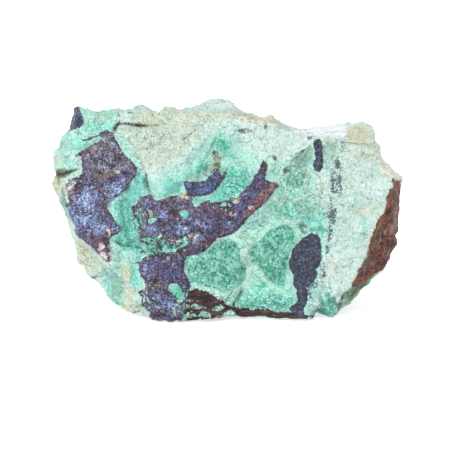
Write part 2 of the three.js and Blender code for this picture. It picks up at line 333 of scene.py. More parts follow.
# Fracture planes (a, b, height, slope along a, slope along b): the first set faces front, the second back.
FACE_PLANES = (
    (-32.5, 49.5, 11.8, 0.05, -0.3), (-19.5, 50, 12.6, 0, -0.4), (-7, 49.5, 13.2, 0, -0.4),
    (6, 48, 13.2, 0, -0.35), (-17, 40, 16.2, 0.05, -0.14), (-6, 42.5, 15, -0.2, -0.02),
    (6, 41, 15.4, 0.02, -0.16), (-30.5, 39, 13.6, 0.14, -0.1), (-34.5, 25.75, 12.8, 0.22, 0.02),
    (-25, 29.5, 13.9, 0.05, 0), (-12, 26, 16.4, 0, 0.03), (5.5, 31, 15.8, 0, -0.02),
    (18, 36, 14.6, 0.03, -0.1), (30.5, 38, 13.4, -0.18, -0.14), (30, 24.5, 14.2, -0.14, 0.02),
    (27, 11, 14.8, -0.1, 0.1), (-2.75, 11.5, 16.2, -0.02, 0.02), (11.75, 16, 16, -0.02, 0),
    (19.5, 13.5, 15.3, 0, 0.04), (-16, 9, 16.1, 0.03, 0.06), (-29.5, 11, 10.4, 0.36, 0.16),
    (-24.5, 15, 13.2, 0.24, 0.1), (-23.5, 5, 12.2, 0.3, 0.2), (9, 5, 15.6, 0, 0.12),
)
BACK_PLANES = (
    (-24, 38, 14, 0.2, -0.2), (0, 41, 17, 0.02, -0.24), (23, 36, 16, -0.2, -0.16), (-26, 19, 17, 0.24, 0.04),
    (-3, 23, 21.5, 0.03, -0.06), (23, 19, 18.5, -0.26, 0.02), (2, 8, 20.5, 0, 0.12),
)
PLANE_CRISPNESS = 0.075  # how sharply one plane gives way to the next, per square millimetre

FORM_FOOT = 1.15  # where a form's slope ends, in its own reaches
FORM_SLOPE = 0.6  # how wide that slope is
# Raised or sunk forms of the broad face: (a, b, reach, reach, turn in degrees, rise).
FACE_FORMS = (
    (-2.75, 11.5, 7.6, 7.2, 20, 1.3), (11.5, 15.5, 5.4, 8, -30, 1.2), (5, 12, 1.4, 9, -14, -0.7),
    (-18.5, 34, 6, 7.5, 10, 1.1), (-5, 33.5, 4, 5.5, -40, -1.7), (-26.5, 36.5, 2, 9, 35, -0.9),
    (-24, 25, 3, 9, 8, -1.5), (6.5, 30, 12, 2.6, 40, 0.6), (18.5, 33, 2, 7, 0, -0.6),
)

# Rounded lumps of the weathered crest: (a, c, reach, rise).
CREST_LUMPS = (
    (-22, 7, 4, 0.9), (-15, 9, 3.6, 0.8), (-9.5, 11, 3.8, 1), (-3, 11, 4.6, 1.2), (-17, 0, 3.4, 0.7),
    (-7, 1, 3.6, 0.8), (5, 10, 4, 0.8), (3, -2, 3.6, 0.7), (-29, 9, 4.2, 0.8), (12, 9, 3.8, 0.7),
)
CREST_B = 47  # the crest is what lies above this line
CREST_FADE = 3  # its lumps grow to their full height over this much more

# Large scooped breaks of the sides and the back: how many, their greatest rise and tilt, and their curve.
SCOOPS = 64
SCOOP_RISE = 0.9
SCOOP_TILT = 0.16
SCOOP_CURVE = 0.017
SCOOP_MEAN = 0.6  # the mean height of the lowest bowl, which is taken off
SCOOP_TILT_SEEDS = ((3.71, 2), (9.13, 3), (6.29, 4))  # times a bowl's number, plus: the seeds of its tilt
SCOOP_RISE_SEED = (5.17, 1)

# The ellipsoid that stands for the body: bowls are spread over it and the surface is pushed out along it.
BODY_HALF = np.array([41.0, 27.0, 19.0])
BODY_MIDDLE = np.array([0.0, 26.0, 2.0])

# Broad lumps of the whole surface, in millimetres.
LUMP_SIZE = 11
LUMP_RISE = 0.75
LUMP_OCTAVES = 3


@dataclass(frozen=True)
class Outline:
    """A closed outline that is read by its angle round the drawing's middle."""

    corners: Points

    def at(self, angle: Array) -> Array:
        """Reads the outline on the straight lines between its corners.

        Args:
            angle: angles round the drawing's middle, in radians.

        Returns:
            The outline's points, with as many numbers as its corners have.
        """
        corners = np.asarray(self.corners, float)
        angles = np.arctan2(corners[:, 1] - MIDDLE[1], corners[:, 0] - MIDDLE[0])
        columns = [np.interp(angle, angles, column, period=2 * math.pi) for column in corners.T]
        return np.stack(columns, axis=1)

    def shrunk(self, angle: Array, share: Array) -> Array:
        """Places (a, b) that lie a share of the way from the middle to the outline."""
        return MIDDLE + share[:, None] * (self.at(angle)[:, :2] - MIDDLE)


def planes_height(planes: Points, flat: Array) -> Array:
    """Height of a set of fracture planes: the mean of all, weighted by exp(-crispness * distance^2).

    Args:
        planes: the planes (a, b, height, slope along a, slope along b).
        flat: the places (a, b).

    Returns:
        The height at each place in millimetres.
    """
    height = np.zeros(len(flat))
    share = np.zeros(len(flat))
    for a, b, level, slope_a, slope_b in planes:
        offset = flat - (a, b)
        sway = np.exp(-PLANE_CRISPNESS * (offset**2).sum(axis=1))
        height += sway * (level + offset @ (slope_a, slope_b))
        share += sway
    return height / share


def reach_of(flat: Array, a: float, b: float, reach_a: float, reach_b: float, turn: float) -> Array:
    """Distance from the middle of an ellipse, counted in its own reaches.

    Args:
        flat: the places (a, b).
        a, b: the ellipse's middle.
        reach_a, reach_b: its two half widths in millimetres.
        turn: how far it is turned, in degrees.

    Returns:
        The distances, which are 1 on the ellipse.
    """
    cos, sin = math.cos(math.radians(turn)), math.sin(math.radians(turn))
    offset = flat - (a, b)
    return np.hypot(offset @ (cos, sin) / reach_a, offset @ (-sin, cos) / reach_b)


def forms_height(flat: Array) -> Array:
    """Height of the raised and sunk forms of the broad face: round-topped ellipses.

    Args:
        flat: the places (a, b).

    Returns:
        The height at each place in millimetres.
    """
    height = np.zeros(len(flat))
    for a, b, reach_a, reach_b, turn, rise in FACE_FORMS:
        inside = FORM_FOOT - reach_of(flat, a, b, reach_a, reach_b, turn)
        height += rise * smoothstep(inside, 0, FORM_SLOPE)
    return height


def scoops_height(points: Array) -> Array:
    """Height of the large breaks: the lowest of bowls whose bottoms are spread evenly over the body.

    The bottoms lie on a sphere in golden-angle steps, stretched to the body. Each has its height and tilt.

    Args:
        points: the places (a, b, c).

    Returns:
        The height at each place in millimetres.
    """
    lowest = np.full(len(points), np.inf)
    rise_step, rise_start = SCOOP_RISE_SEED
    for number in range(SCOOPS):
        level = 1 - (2 * number + 1) / SCOOPS
        turn = number * math.pi * (3 - math.sqrt(5))
        ring = math.sqrt(1 - level * level)
        bottom = BODY_MIDDLE + BODY_HALF * (ring * math.cos(turn), ring * math.sin(turn), level)
        offset = points - bottom
        seeds = np.array([number * step + start for step, start in SCOOP_TILT_SEEDS])
        tilt = 2 * SCOOP_TILT * (scatter(seeds) - 0.5)
        rise = SCOOP_RISE * (2 * scatter(np.array(number * rise_step + rise_start)) - 1)
        lowest = np.minimum(lowest, rise + offset @ tilt + SCOOP_CURVE * (offset**2).sum(axis=1))
    return lowest - SCOOP_MEAN


def crest_height(points: Array) -> Array:
    """Height of the crest's lumps: the highest of their parabolas, above the crest's lower line.

    Args:
        points: the places (a, b, c).

    Returns:
        The height at each place in millimetres.
    """
    height = np.zeros(len(points))
    for a, c, reach, rise in CREST_LUMPS:
        distance = np.hypot(points[:, 0] - a, points[:, 2] - c) / reach
        height = np.maximum(height, rise * (1 - distance**2))
    return height * smoothstep(points[:, 1], CREST_B, CREST_B + CREST_FADE)


@dataclass(frozen=True)
class BlockForm:
    """The block's own form: a box grid wrapped round it, from the broad face to the back.

    Attributes:
        columns, bands, rows: cells of the grid across, in depth and up.
        rim: depth from the silhouette, on both sides, over which the roughness grows.
        broken_from: depth at which the large breaks, which start at the broad face, have their full height.
    """

    columns: int = 230
    bands: int = 50
    rows: int = 135
    rim: float = 0.5
    broken_from: float = -0.6

    def grid(self) -> tuple[Array, Array]:
        """The lattice (across, depth, up) and its quads."""
        return box_grid(self.columns, self.bands, self.rows)

    def points(self, lattice: Array) -> Array:
        """The block's surface as drawn.

        On the broad face and the back a place lies a share of the way from the middle to the edge, and its
        depth is the height of the planes there. The sides run straight from each edge to the silhouette.

        Args:
            lattice: the grid's corners (across, depth, up), from -1 to 1.

        Returns:
            The places (a, b, c) in millimetres.
        """
        across, depth, up = lattice.T
        angle = np.arctan2(up * HALF_HEIGHT, across * HALF_WIDTH)
        share = np.maximum(np.abs(across), np.abs(up))
        face = Outline(FACE_EDGE).shrunk(angle, share)
        back = Outline(BACK_EDGE).shrunk(angle, share)
        face_depth = -planes_height(FACE_PLANES, face) - forms_height(face)
        back_depth = planes_height(BACK_PLANES, back)
        front = np.column_stack([face, face_depth])
        rear = np.column_stack([back, back_depth])
        edge = np.where((depth < 0)[:, None], front, rear)
        rim = Outline(SILHOUETTE).at(angle)
        return edge + (1 - np.abs(depth))[:, None] * (rim - edge)

    def roughened(self, points: Array, depth: Array) -> Array:
        """Pushes out the large breaks, the crest and the lumps, and leaves the silhouette as drawn.

        Args:
            points: the places (a, b, c).
            depth: -1 on the broad face, 1 on the back, and between them on the sides.

        Returns:
            The places moved.
        """
        off_rim = smoothstep(np.abs(depth), 0, self.rim)
        broken = off_rim * smoothstep(depth, -1, self.broken_from)
        rise = broken * (scoops_height(points) + crest_height(points))
        rise += off_rim * LUMP_RISE * lumps(points, LUMP_SIZE, LUMP_OCTAVES)
        return points + rise[:, None] * self.outward(points)

    @staticmethod
    def outward(points: Array) -> Array:
        """Directions out of the body, those of an ellipsoid round it."""
        outward = (points - BODY_MIDDLE) / BODY_HALF**2
        return outward / np.linalg.norm(outward, axis=1, keepdims=True)


# ---------------------------------------------------------------- pigments and markings


class Pigment(Enum):
    """The colours of the rock and its crusts."""

    PALE = srgb(209, 232, 224)
    MINT = srgb(180, 234, 220)
    FRESH = srgb(160, 236, 218)
    HAZE = srgb(162, 210, 206)
    TEAL = srgb(124, 218, 205)
    JADE = srgb(94, 208, 178)
    DEEP = srgb(70, 142, 124)
    SAGE = srgb(148, 184, 164)
    CREAM = srgb(206, 218, 200)
    TAN = srgb(224, 214, 180)
    PEACH = srgb(228, 208, 174)
    ROSE = srgb(220, 208, 200)
    # The white plane's pale stone with its painted highlight.
    WHITE = srgb(248, 253, 255)
    SNOW = srgb(232, 246, 244)
    OLIVE = srgb(104, 104, 72)
    UMBER = srgb(88, 62, 50)
    SLATE = srgb(92, 88, 112)
    GREY = srgb(142, 146, 158)
    MAUVE = srgb(124, 116, 132)
    VIOLET = srgb(122, 140, 182)
    # Pale blue; on the crusts it is partly a painted sheen.
    AZURE = srgb(154, 178, 214)
    INDIGO = srgb(72, 76, 118)
    MAROON = srgb(92, 60, 70)
    STEEL = srgb(76, 98, 134)
    RUST = srgb(144, 102, 88)
    NIGHT = srgb(50, 40, 50)
    FLAKE = srgb(236, 218, 208)
    SHELL = srgb(240, 232, 218)


NOISE_GROWTH = 6  # noise breaks up a layer in full from a sixth of its full strength on
COVER_FROM, COVER_TO = 0.25, 0.75  # the strengths between which a pigment comes to cover

HOLE_SLOPE = 2.5  # how fast a marking gets shallower towards a hole, in millimetres
SEED_SHIFT = 100  # how far apart the noises of two patches are read, in millimetres
PATCH_OCTAVES = 3


@dataclass(frozen=True)
class Layer:
    """One pigment laid over those before it.

    Attributes:
        pigment: its colour.
        areas: closed outlines of (a, b).
        spots: ellipses (a, b, reach, reach, strength, turn in degrees), as spot_field takes them.
        lines: lines of (a, b, half width).
        border: half width of the soft border of areas and lines, in millimetres.
        grain: how strongly noise breaks up the borders.
        share: how much of the pigment covers what lies under it.
    """

    pigment: Pigment
    areas: tuple[Points, ...] = ()
    spots: Points = ()
    lines: tuple[Points, ...] = ()
    border: float = 0.6
    grain: float = 0.5
    share: float = 0.9

    def strength(self, flat: Array) -> Array:
        """How strongly the layer is laid.

        Args:
            flat: the places (a, b).

        Returns:
            0 outside, 0.5 on the borders of areas and lines, and up to 1 inside.
        """
        strength = spots_field(flat, self.spots)
        for area in self.areas:
            strength = np.maximum(strength, 0.5 + depth_inside(flat, area) / (2 * self.border))
        for line in self.lines:
            strength = np.maximum(strength, 0.5 + line_depth(flat, line) / (2 * self.border))
        return np.clip(strength, 0, 1)

    def cover(self, flat: Array, noise_here: Array) -> Array:
        """How much the pigment covers, with its borders broken up by noise.

        Args:
            flat: the places (a, b).
            noise_here: the noise at each place.

        Returns:
            The share of each place that is covered.
        """
        strength = self.strength(flat)
        strength = strength + self.grain * noise_here * np.minimum(1, NOISE_GROWTH * strength)
        return self.share * smoothstep(strength, COVER_FROM, COVER_TO)


def spot_field(
    flat: Array, a: float, b: float, reach_a: float, reach_b: float, strength: float = 1, turn: float = 0
) -> Array:
    """One spot: strength * 2^(-reach^2), which is half its strength on the ellipse of its two reaches."""
    return strength * np.exp2(-(reach_of(flat, a, b, reach_a, reach_b, turn) ** 2))


def spots_field(flat: Array, spots: Points) -> Array:
    """The strongest of the spots at each place.

    Args:
        flat: the places (a, b).
        spots: the spots, each as spot_field takes it.

    Returns:
        Their strengths.
    """
    field = np.zeros(len(flat))
    for spot in spots:
        field = np.maximum(field, spot_field(flat, *spot))
    return field


# The rock of the broad face, from the palest ground to the last details.
ROCK_LAYERS = (
    Layer(Pigment.MINT, border=1.6, areas=(
        ((-46, 56), (-27.3, 56), (-27.3, 49), (-28.5, 46.6), (-31, 44.6), (-38, 40.4), (-37.2, 36.4),
         (-41, 35.6), (-46, 33.5)),
        ((-28.6, 47.2), (-26.8, 46.8), (-24.6, 44.2), (-22.8, 41), (-21.3, 37.5), (-19.6, 33), (-17, 29.4),
         (-22, 20), (-21, 14), (-24, 13), (-29, 13.5), (-31, 20), (-31, 28), (-24, 34)),
        ((-20, 35.2), (-16, 36.2), (-12.5, 38.6), (-9, 42.2), (-6, 45.4), (-3, 47), (0.5, 46.5), (3.5, 42.5),
         (8, 40), (13, 38.5), (20, 42), (21.8, 44), (21.2, 38), (22, 31), (24.2, 28), (24.2, 19), (22, 7),
         (20.5, -4), (-12, -4), (-12, 12), (-8, 20), (-12, 31), (-18, 29)),
        ((-31, 12), (-27, 13), (-25.4, 11), (-25.6, 2), (-30, 3), (-34, 9)),
    )),
    Layer(Pigment.HAZE, border=1.0, share=0.75, areas=(
        ((3, 21), (7, 22), (12, 25), (17, 26), (14, 30), (10, 29), (5, 25)),
    ), spots=(
        (1.5, 43, 1.7, 4.5), (-38, 43.4, 4, 1.4, 0.9, 20), (-30, 9, 2.6, 2, 0.8), (-18, 51.5, 3, 1.2, 0.8),
        (-22, 50.6, 2.4, 1, 0.8), (26, 38, 2, 3, 0.6), (31, 24, 7, 14, 0.4, 10),
        (22.8, 6, 2.4, 4.4, 0.6, -20),
    )),
    Layer(Pigment.FRESH, border=0.8, areas=(
        ((-36.4, 51.9), (-27.6, 51.9), (-28.6, 47.8), (-31.5, 46.6), (-36, 46.2)),
        ((-41.5, 42.6), (-37.5, 45.2), (-33.2, 44.2), (-35.5, 42.6), (-38.6, 40.9)),
        # This pale band beside the left crust is partly a painted highlight on its slope.
        ((-28.2, 46.3), (-26.8, 46), (-24.8, 43), (-22.8, 38.8), (-24, 39.6), (-26.4, 42.6)),
        ((-16, 35.2), (-11, 36), (-8.5, 37.8), (-4.6, 43.4), (-3.8, 44), (-5, 40), (-7.6, 36.4),
         (-10, 34.4)),
        ((4.8, 18.6), (9, 22.8), (12.5, 24.8), (17.6, 24.5), (17.4, 23.4), (12.5, 23.4), (9, 21.2),
         (5.6, 17.2)),
        ((4, 3.4), (2.6, 6.4), (5, 8.6), (9.6, 9), (14.6, 11.6), (16, 9.4), (17, 7), (16.4, 4.4), (10, 4.6),
         (6, 2.9)),
    ), spots=(
        (-22.8, 12.8, 0.9, 1.4, 1.1), (-21.8, 9, 0.8, 1.2), (22.6, 23, 1.3, 3.4, 1.1),
        (32, 20.6, 4, 2.2, 0.5, 40),
    )),
    Layer(Pigment.TEAL, border=0.45, grain=0.6, areas=(
        ((-22.4, 38), (-20.4, 35.4), (-19.9, 31.5), (-20.9, 30.4), (-23.2, 28.3), (-23.9, 26), (-23.8, 23),
         (-21.6, 20), (-20.4, 17.4), (-21.6, 15.4), (-23, 14.2), (-24, 16.2), (-26.6, 17.9), (-28.3, 19.4),
         (-26.2, 22.2), (-28.4, 24.8), (-28.4, 28.4), (-26.3, 29.9), (-24.8, 32.6), (-23, 35.7)),
        ((-16.2, 34), (-11.3, 34), (-12.2, 30.9), (-16.2, 30.2)),
        ((-1.8, 35.4), (-0.4, 37.3), (4.5, 37.6), (6.6, 36.2), (5.4, 33.8), (3.4, 31.8), (1, 29.6),
         (-2, 28.4), (-8.8, 28.8), (-8.6, 30), (-4.4, 30.6), (-2.3, 32.2)),
        ((-23, 20.6), (-17, 20.8), (-15.6, 18.8), (-12, 18.4), (-10, 20.8), (-9.4, 18.6), (-11.6, 16.8),
         (-16, 16.2), (-20.6, 15.8), (-22.8, 14.2), (-23.4, 18)),
        ((1.6, 2.8), (4, 4.8), (7.6, 5.2), (11.6, 4.2), (13, 7.6), (14, 5.6), (16.6, 5.6), (15.4, 2.4),
         (9, 2.2), (5, 2.9)),
        ((22.2, 0.6), (23.2, 4.6), (26.2, 5.8), (27, 1)),
    ), spots=(
        (-33, 48.2, 3, 1, 0.75), (-31.6, 50.4, 1.6, 0.8, 0.7, 20), (-35.4, 43.2, 2, 0.7, 0.7, 20),
        (15.4, 26.6, 5, 2, 0.85, 5), (20, 25.4, 2.4, 3, 0.85), (-23.6, 11.4, 1.3, 3.2, 1.2),
        (-12.6, 6.8, 2.4, 2.2, 1.3), (-11, 26.2, 2, 1.6, 1.3), (-21.6, 24.6, 3, 3.6),
        (-21.8, 3, 0.7, 2.6, 0.8, 10), (-28.6, 6.6, 1.6, 4, 0.7, 15), (3.4, 5.6, 0.5, 2, 0.9, -35),
    )),
    Layer(Pigment.SAGE, border=0.8, grain=0.7, share=0.8, areas=(
        ((20.6, 43.2), (21.2, 41), (20, 38.6), (19.4, 36.4), (15, 36.6), (14.4, 38.4), (17, 40.8),
         (19.4, 42.6)),
        # This area is the underside below the lower-right ledges, painted darker grey-green as shade.
        ((27.2, 0), (27.4, 3), (28.6, 6.4), (31.4, 8.2), (37.4, 10.9), (40, 10), (34, 4), (29, -1)),
        ((-44, 28), (-42, 33), (-41, 31.6), (-40.2, 27), (-39.4, 24), (-42, 24)),
    ), spots=(
        (26.2, 41.9, 2.8, 1.8, 0.8), (-10.8, 2.4, 1, 2.4, 0.9), (29, 35, 2.5, 3.5, 0.4),
        (-26.5, 8, 2.4, 3.6, 0.7, 10), (12, 28, 5, 3.4, 0.7, 10), (18.6, 28.4, 5, 3.4, 0.75, 5),
        (-40.4, 41.4, 2, 3, 0.5), (-27.4, 7.8, 2, 4, 0.9), (-25.2, 12, 1.2, 1.4, 1.1),
        (-27.8, 15.4, 1.3, 2.2, 0.8), (3.5, 20.6, 2.2, 1.5, 0.7, 30), (-25.2, 46.9, 1.8, 0.7, 0.7),
        (24.8, 36.8, 1.1, 2, 0.6), (22.2, 29.4, 1.2, 1.8), (19.8, 31.6, 1.2, 1.2, 0.9),
        (-0.2, 6.8, 1.4, 0.9, 0.9),
    )),
    Layer(Pigment.JADE, border=0.5, grain=0.6, spots=(
        # The first two spots are the emerald face below the ledge from (-18, 34.8) to (-3.4, 46.6), partly
        # painted shade there.
        (-5.8, 38.4, 2.5, 0.7, 1.1, 40), (-1.2, 42.8, 3.1, 1, 1.2, -61), (-25.4, 20.4, 2.2, 1.6, 0.75),
        (-25.2, 25.4, 1, 2.6, 0.5), (16.8, 19.6, 1.1, 3.6, 1.3), (14.8, 13.2, 0.9, 2.4, 1.2),
        (5.8, 16.4, 1, 1.8, 1.2, -20), (12.6, 23, 3, 0.5, 1.1, 12), (9.6, 9.4, 1, 1.6, 1, -30),
        (14, 27.6, 2.6, 0.7, 0.9), (25.3, 4, 0.6, 1.4), (-19.4, 17.5, 2.2, 1, 1.1), (-13.6, 17.6, 1.6, 0.8),
        (3.6, 33.6, 1.2, 2, 0.8, -30), (0.2, 35.8, 1.2, 0.8, 0.8), (-12.8, 6.6, 1.2, 1),
        (6.4, 4, 1.8, 0.6, 0.9), (23.4, 20.8, 0.5, 1.6, 0.9),
    ), lines=(
        ((9, 19.8, 0.5), (10.8, 21.7, 0.7), (13.4, 22.9, 0.6), (17.1, 22.9, 0.3)),
    )),
    # Dark green creases. Along the cream wedge's left step and under the lower-right ledges they are painted
    # shade.
    Layer(Pigment.DEEP, border=0.35, grain=0.7, share=0.8, spots=(
        # The spots near a = -22 with b from 33 to 40 are painted shade beside the cream wedge's step.
        (12.8, 22.5, 2.6, 0.35, 1, 14), (-25.6, 18.3, 1.6, 0.4, 1, -10), (-22.2, 36.4, 0.3, 1.8, 1, -25),
        (-20.4, 33.4, 0.5, 2.6, 1.1, 8), (-22.9, 18.9, 1.1, 0.9, 1.1), (-27.4, 19.2, 1.2, 0.7, 0.8),
        (-22.9, 39.4, 0.4, 1.4, 1, -25), (-5.4, 36.8, 0.5, 1, 0.8), (27.2, 4.2, 0.9, 1.4, 0.8),
        (18.6, 34.4, 0.4, 1.6, 0.9), (4.4, 2.9, 1.6, 0.3, 0.8), (2.6, 5.4, 0.25, 1.4, 1, -35),
        (23.2, 2.4, 0.4, 1.6, 1.1, -20), (24.6, 1.6, 0.4, 1.4, 1, 30), (24.2, 3.4, 1.4, 1.8, 0.55),
        (16.6, 33.8, 2.4, 2.2, 0.5), (19.6, 22, 3.8, 0.9, 0.5), (-22.9, 14.6, 0.9, 0.9, 0.7),
        (-18.6, 18, 4, 1.8, 0.75), (-21.4, 15.9, 1.4, 0.4, 0.9, 20), (12.2, 3.2, 2, 0.4, 0.8),
    ), lines=(
        # Under the lower-right ledges: painted shade along each step.
        ((27.3, 1.6, 0.4), (27.9, 4.4, 0.45), (29.6, 6.6, 0.55), (32.4, 8.3, 0.5), (36.4, 10.3, 0.3)),
        ((30, 2.6, 0.3), (30.9, 4.8, 0.4), (32.6, 6.8, 0.4), (36, 9, 0.2)),
        ((23, 4.6, 0.2), (23.4, 2, 0.4), (24.2, 0.4, 0.3)),
        ((25.2, 4.8, 0.1), (25.8, 2.4, 0.3), (26.6, 0.6, 0.2)),
        # Along the cream wedge's left step: painted shade.
        ((-24.6, 44.4, 0), (-23, 42, 0.15), (-22, 39.6, 0.1), (-20.9, 36.8, 0.15), (-20, 33.8, 0.3),
         (-19.5, 30.8, 0.15)),
    )),
    Layer(Pigment.CREAM, border=1.2, grain=0.6, share=0.85, areas=(
        ((-27, 47.4), (-24, 49.6), (-14, 49.6), (-7, 48.6), (-6, 46.4), (-9, 43.6), (-13, 40), (-19, 36.8),
         (-21, 38), (-22.8, 41.2), (-24.6, 44.6)),
        ((-38.4, 20), (-30.4, 13.4), (-33, 9.6), (-36, 11.6), (-38, 14.6)),
        ((37.5, 41.5), (41, 36.5), (40.2, 32), (44, 34), (40, 39.6)),
    ), spots=(
        (-32, 49.5, 8, 4, 0.38), (36.6, 40.6, 2, 2, 1, 30), (-25.1, 8, 0.8, 5, 1, 4),
        (-22.6, 2.6, 1.2, 3, 0.9, 30), (-42, 32.4, 1.2, 2.6, 1.2, -10), (-43, 39.6, 0.8, 1.8),
        (-30.6, 5.6, 1, 1.6, 0.6, 20), (4.4, 13.8, 1, 4.4, 0.9, -10), (35, 27, 2.6, 2, 0.6, 20),
        (33, 41, 4, 1.4, 1, -10), (40, 37, 1.4, 3, 1, 40), (12.6, 47.4, 2.4, 1.6, 0.8, -40),
        (19.8, 34.4, 0.5, 2.4, 0.8),
    ), lines=(
        ((41.2, 34.4, 0), (39.4, 31, 0.2), (38.8, 27, 0.1), (36.4, 22.6, 0.2), (34.6, 17, 0.1),
         (31.2, 9.6, 0)),
    )),
    Layer(Pigment.TAN, border=1.0, share=0.6, areas=(
        ((-11, 51.3), (-2, 51.2), (4, 50.9), (11.3, 50.4), (12.5, 48.6), (8, 48.6), (3, 49.4), (-4, 49.8),
         (-10, 50)),
        ((29.4, 48), (32, 49), (35, 49.4), (36.8, 46.6), (37.4, 42.8), (34.6, 42.2), (31, 43), (29.6, 45)),
    ), spots=(
        (-42.2, 33.4, 1.4, 2, 1.1), (-12.8, 51.2, 1.8, 0.7, 1.1), (-18, 50.7, 5, 1.2),
        (-4, 39, 0.9, 2, 0.8, 8), (-36.8, 17, 1.4, 3, 0.8, 30), (-8, 49.6, 5, 0.7, 0.8),
        (-25.8, 11.4, 0.6, 2, 1.1, 10), (-25.1, 7, 0.5, 2.6, 1.1, 4), (-24.6, 2.6, 0.6, 1.8, 1.1, 10),
        (24.4, 44.4, 2.6, 0.25, 0.8, -4),
    )),
    Layer(Pigment.SHELL, share=0.85, spots=(
        (40.8, 36.6, 1.4, 3.4, 1.3, 40), (38.2, 40, 1.4, 1.4, 1.1), (35.6, 46.6, 1.6, 1.4, 0.6),
    )),
    Layer(Pigment.PEACH, grain=0.9, share=0.55, spots=(
        (-12.8, 51.1, 1.2, 0.45, 1.1), (3, 50.2, 2.4, 0.4, 0.8), (6.4, 49.6, 1.6, 0.4, 0.8, -10),
        (34, 46.2, 1.4, 1.1), (31, 46.6, 1.2, 0.8, 0.9, 20), (-35.2, 14.2, 0.7, 0.6),
        (34.2, 44.6, 1.6, 0.4, 0.8), (-43.4, 40.6, 0.5, 1.2, 0.9), (11.4, 49.8, 0.5, 0.5, 0.8),
    )),
    Layer(Pigment.ROSE, grain=0.8, share=0.7, spots=(
        (22.6, 32.2, 1.4, 1.2, 0.6), (26.4, 12.4, 1.6, 2, 0.55), (33.4, 26.6, 1.4, 1, 0.55),
    )),
    # The white plane at the upper right: pale stone with a painted highlight where it faces up to the light.
    Layer(Pigment.WHITE, border=0.35, grain=0.3, share=0.95, areas=(
        ((16, 46.9), (22, 48.6), (29.6, 49.6), (29.8, 46.6), (28.6, 44.9), (23, 45.2), (19, 45.8)),
    )),
    Layer(Pigment.SNOW, grain=0.7, share=0.85, spots=(
        (-2.6, 5.6, 2, 0.7, 1.2, -30), (2.2, 19.3, 1.6, 0.25, 1, -20), (-0.6, 20.4, 2, 0.25, 0.8, 12),
        # The spots along the crest, here and on the next line, are partly a painted highlight on its top.
        (-20.6, 52.4, 1.6, 0.6, 0.8), (-15.2, 52.4, 1.2, 0.5, 0.8), (-10.4, 52.3, 0.8, 0.5, 0.8),
        (30.6, 48.6, 1.4, 0.5, 0.9, 10), (-1.6, 53.6, 2, 0.8, 0.7), (26.9, 33.2, 0.4, 1.6, 0.9),
    )),
    Layer(Pigment.OLIVE, border=0.25, grain=0.6, areas=(
        ((-43.8, 36.3), (-42, 36.7), (-40.6, 37.4), (-39.2, 37.3), (-38, 36.9), (-39.6, 36.4), (-40.6, 35.5),
         (-42.4, 35.1), (-43.8, 35.3)),
    ), spots=(
        (-23, 48.2, 2.4, 0.35, 1.2, -6), (-3, 39.4, 1.1, 2.5, 0.8, 8), (-2.9, 37, 0.9, 0.8),
        (-28, 47.8, 0.7, 1, 1.2, -35), (4.3, 46.9, 1.7, 0.3, 1, -6), (14.5, 37, 0.8, 0.9, 1.2),
        (11.6, 40, 0.6, 0.4, 0.9), (18.8, 22.9, 1, 0.35, 1.2, -35), (-23.8, 1.4, 1, 0.25, 1, -15),
        (28.7, 43.8, 0.4, 0.9, 0.8), (-10.4, 2.6, 0.5, 1.6, 0.9), (-9, 0.4, 0.8, 0.4),
        (-5, 1.4, 0.8, 0.3, 0.9, 30), (-7.4, 1.6, 2.4, 0.4), (-3.4, 2.2, 1.6, 0.35, 1, -8),
        (-2.4, 0.4, 1.6, 0.4, 0.9), (-41.2, 30, 0.25, 1.8, 0.9, 12), (-42.1, 33.4, 1.2, 1.8, 0.42),
        (-33.2, 10.6, 0.8, 0.25, 1, -20), (9.3, 47.9, 0.25, 0.7, 1, -10), (31, 5.6, 1.6, 2.4, 0.85, -45),
        (34, 7.6, 2, 0.4, 0.9, 40), (28.6, 2.6, 0.5, 2, 0.8, -20),
    )),
    Layer(Pigment.UMBER, border=0.25, grain=0.6, share=0.95, areas=(
        ((-28.7, 47.2), (-28, 48.9), (-27, 49.3), (-26.9, 48.6), (-27.8, 48), (-27.9, 47)),
    ), spots=(
        (-24, 52.1, 1, 0.4, 1.2, 32), (-3.4, 41, 0.4, 0.8, 1.2), (-2.4, 37.9, 0.35, 0.9, 1, 20),
        (14.3, 37, 0.35, 0.7, 1.2), (-42.4, 36, 1, 0.25, 1.1, 8), (18.4, 23.1, 0.6, 0.25, 1.2, -20),
        (28.6, 44, 0.3, 0.3), (-33.2, 10.7, 0.4, 0.2), (1.6, 2.6, 0.7, 0.5, 1.2),
        (-17.2, 18.4, 0.5, 1.6, 0.9), (41.6, 33.6, 0.3, 0.8, 1.1), (-37.2, 46.6, 0.25, 0.4),
        (5.6, 49.6, 0.6, 0.15), (-20.4, 44.6, 0.3, 0.2), (11.9, 39.7, 0.3, 0.2), (-31, 10.7, 0.3, 0.2, 0.8),
        (31, 8.4, 0.4, 0.4), (19.4, 22.2, 0.2, 0.4, 1, 20),
    )),
)

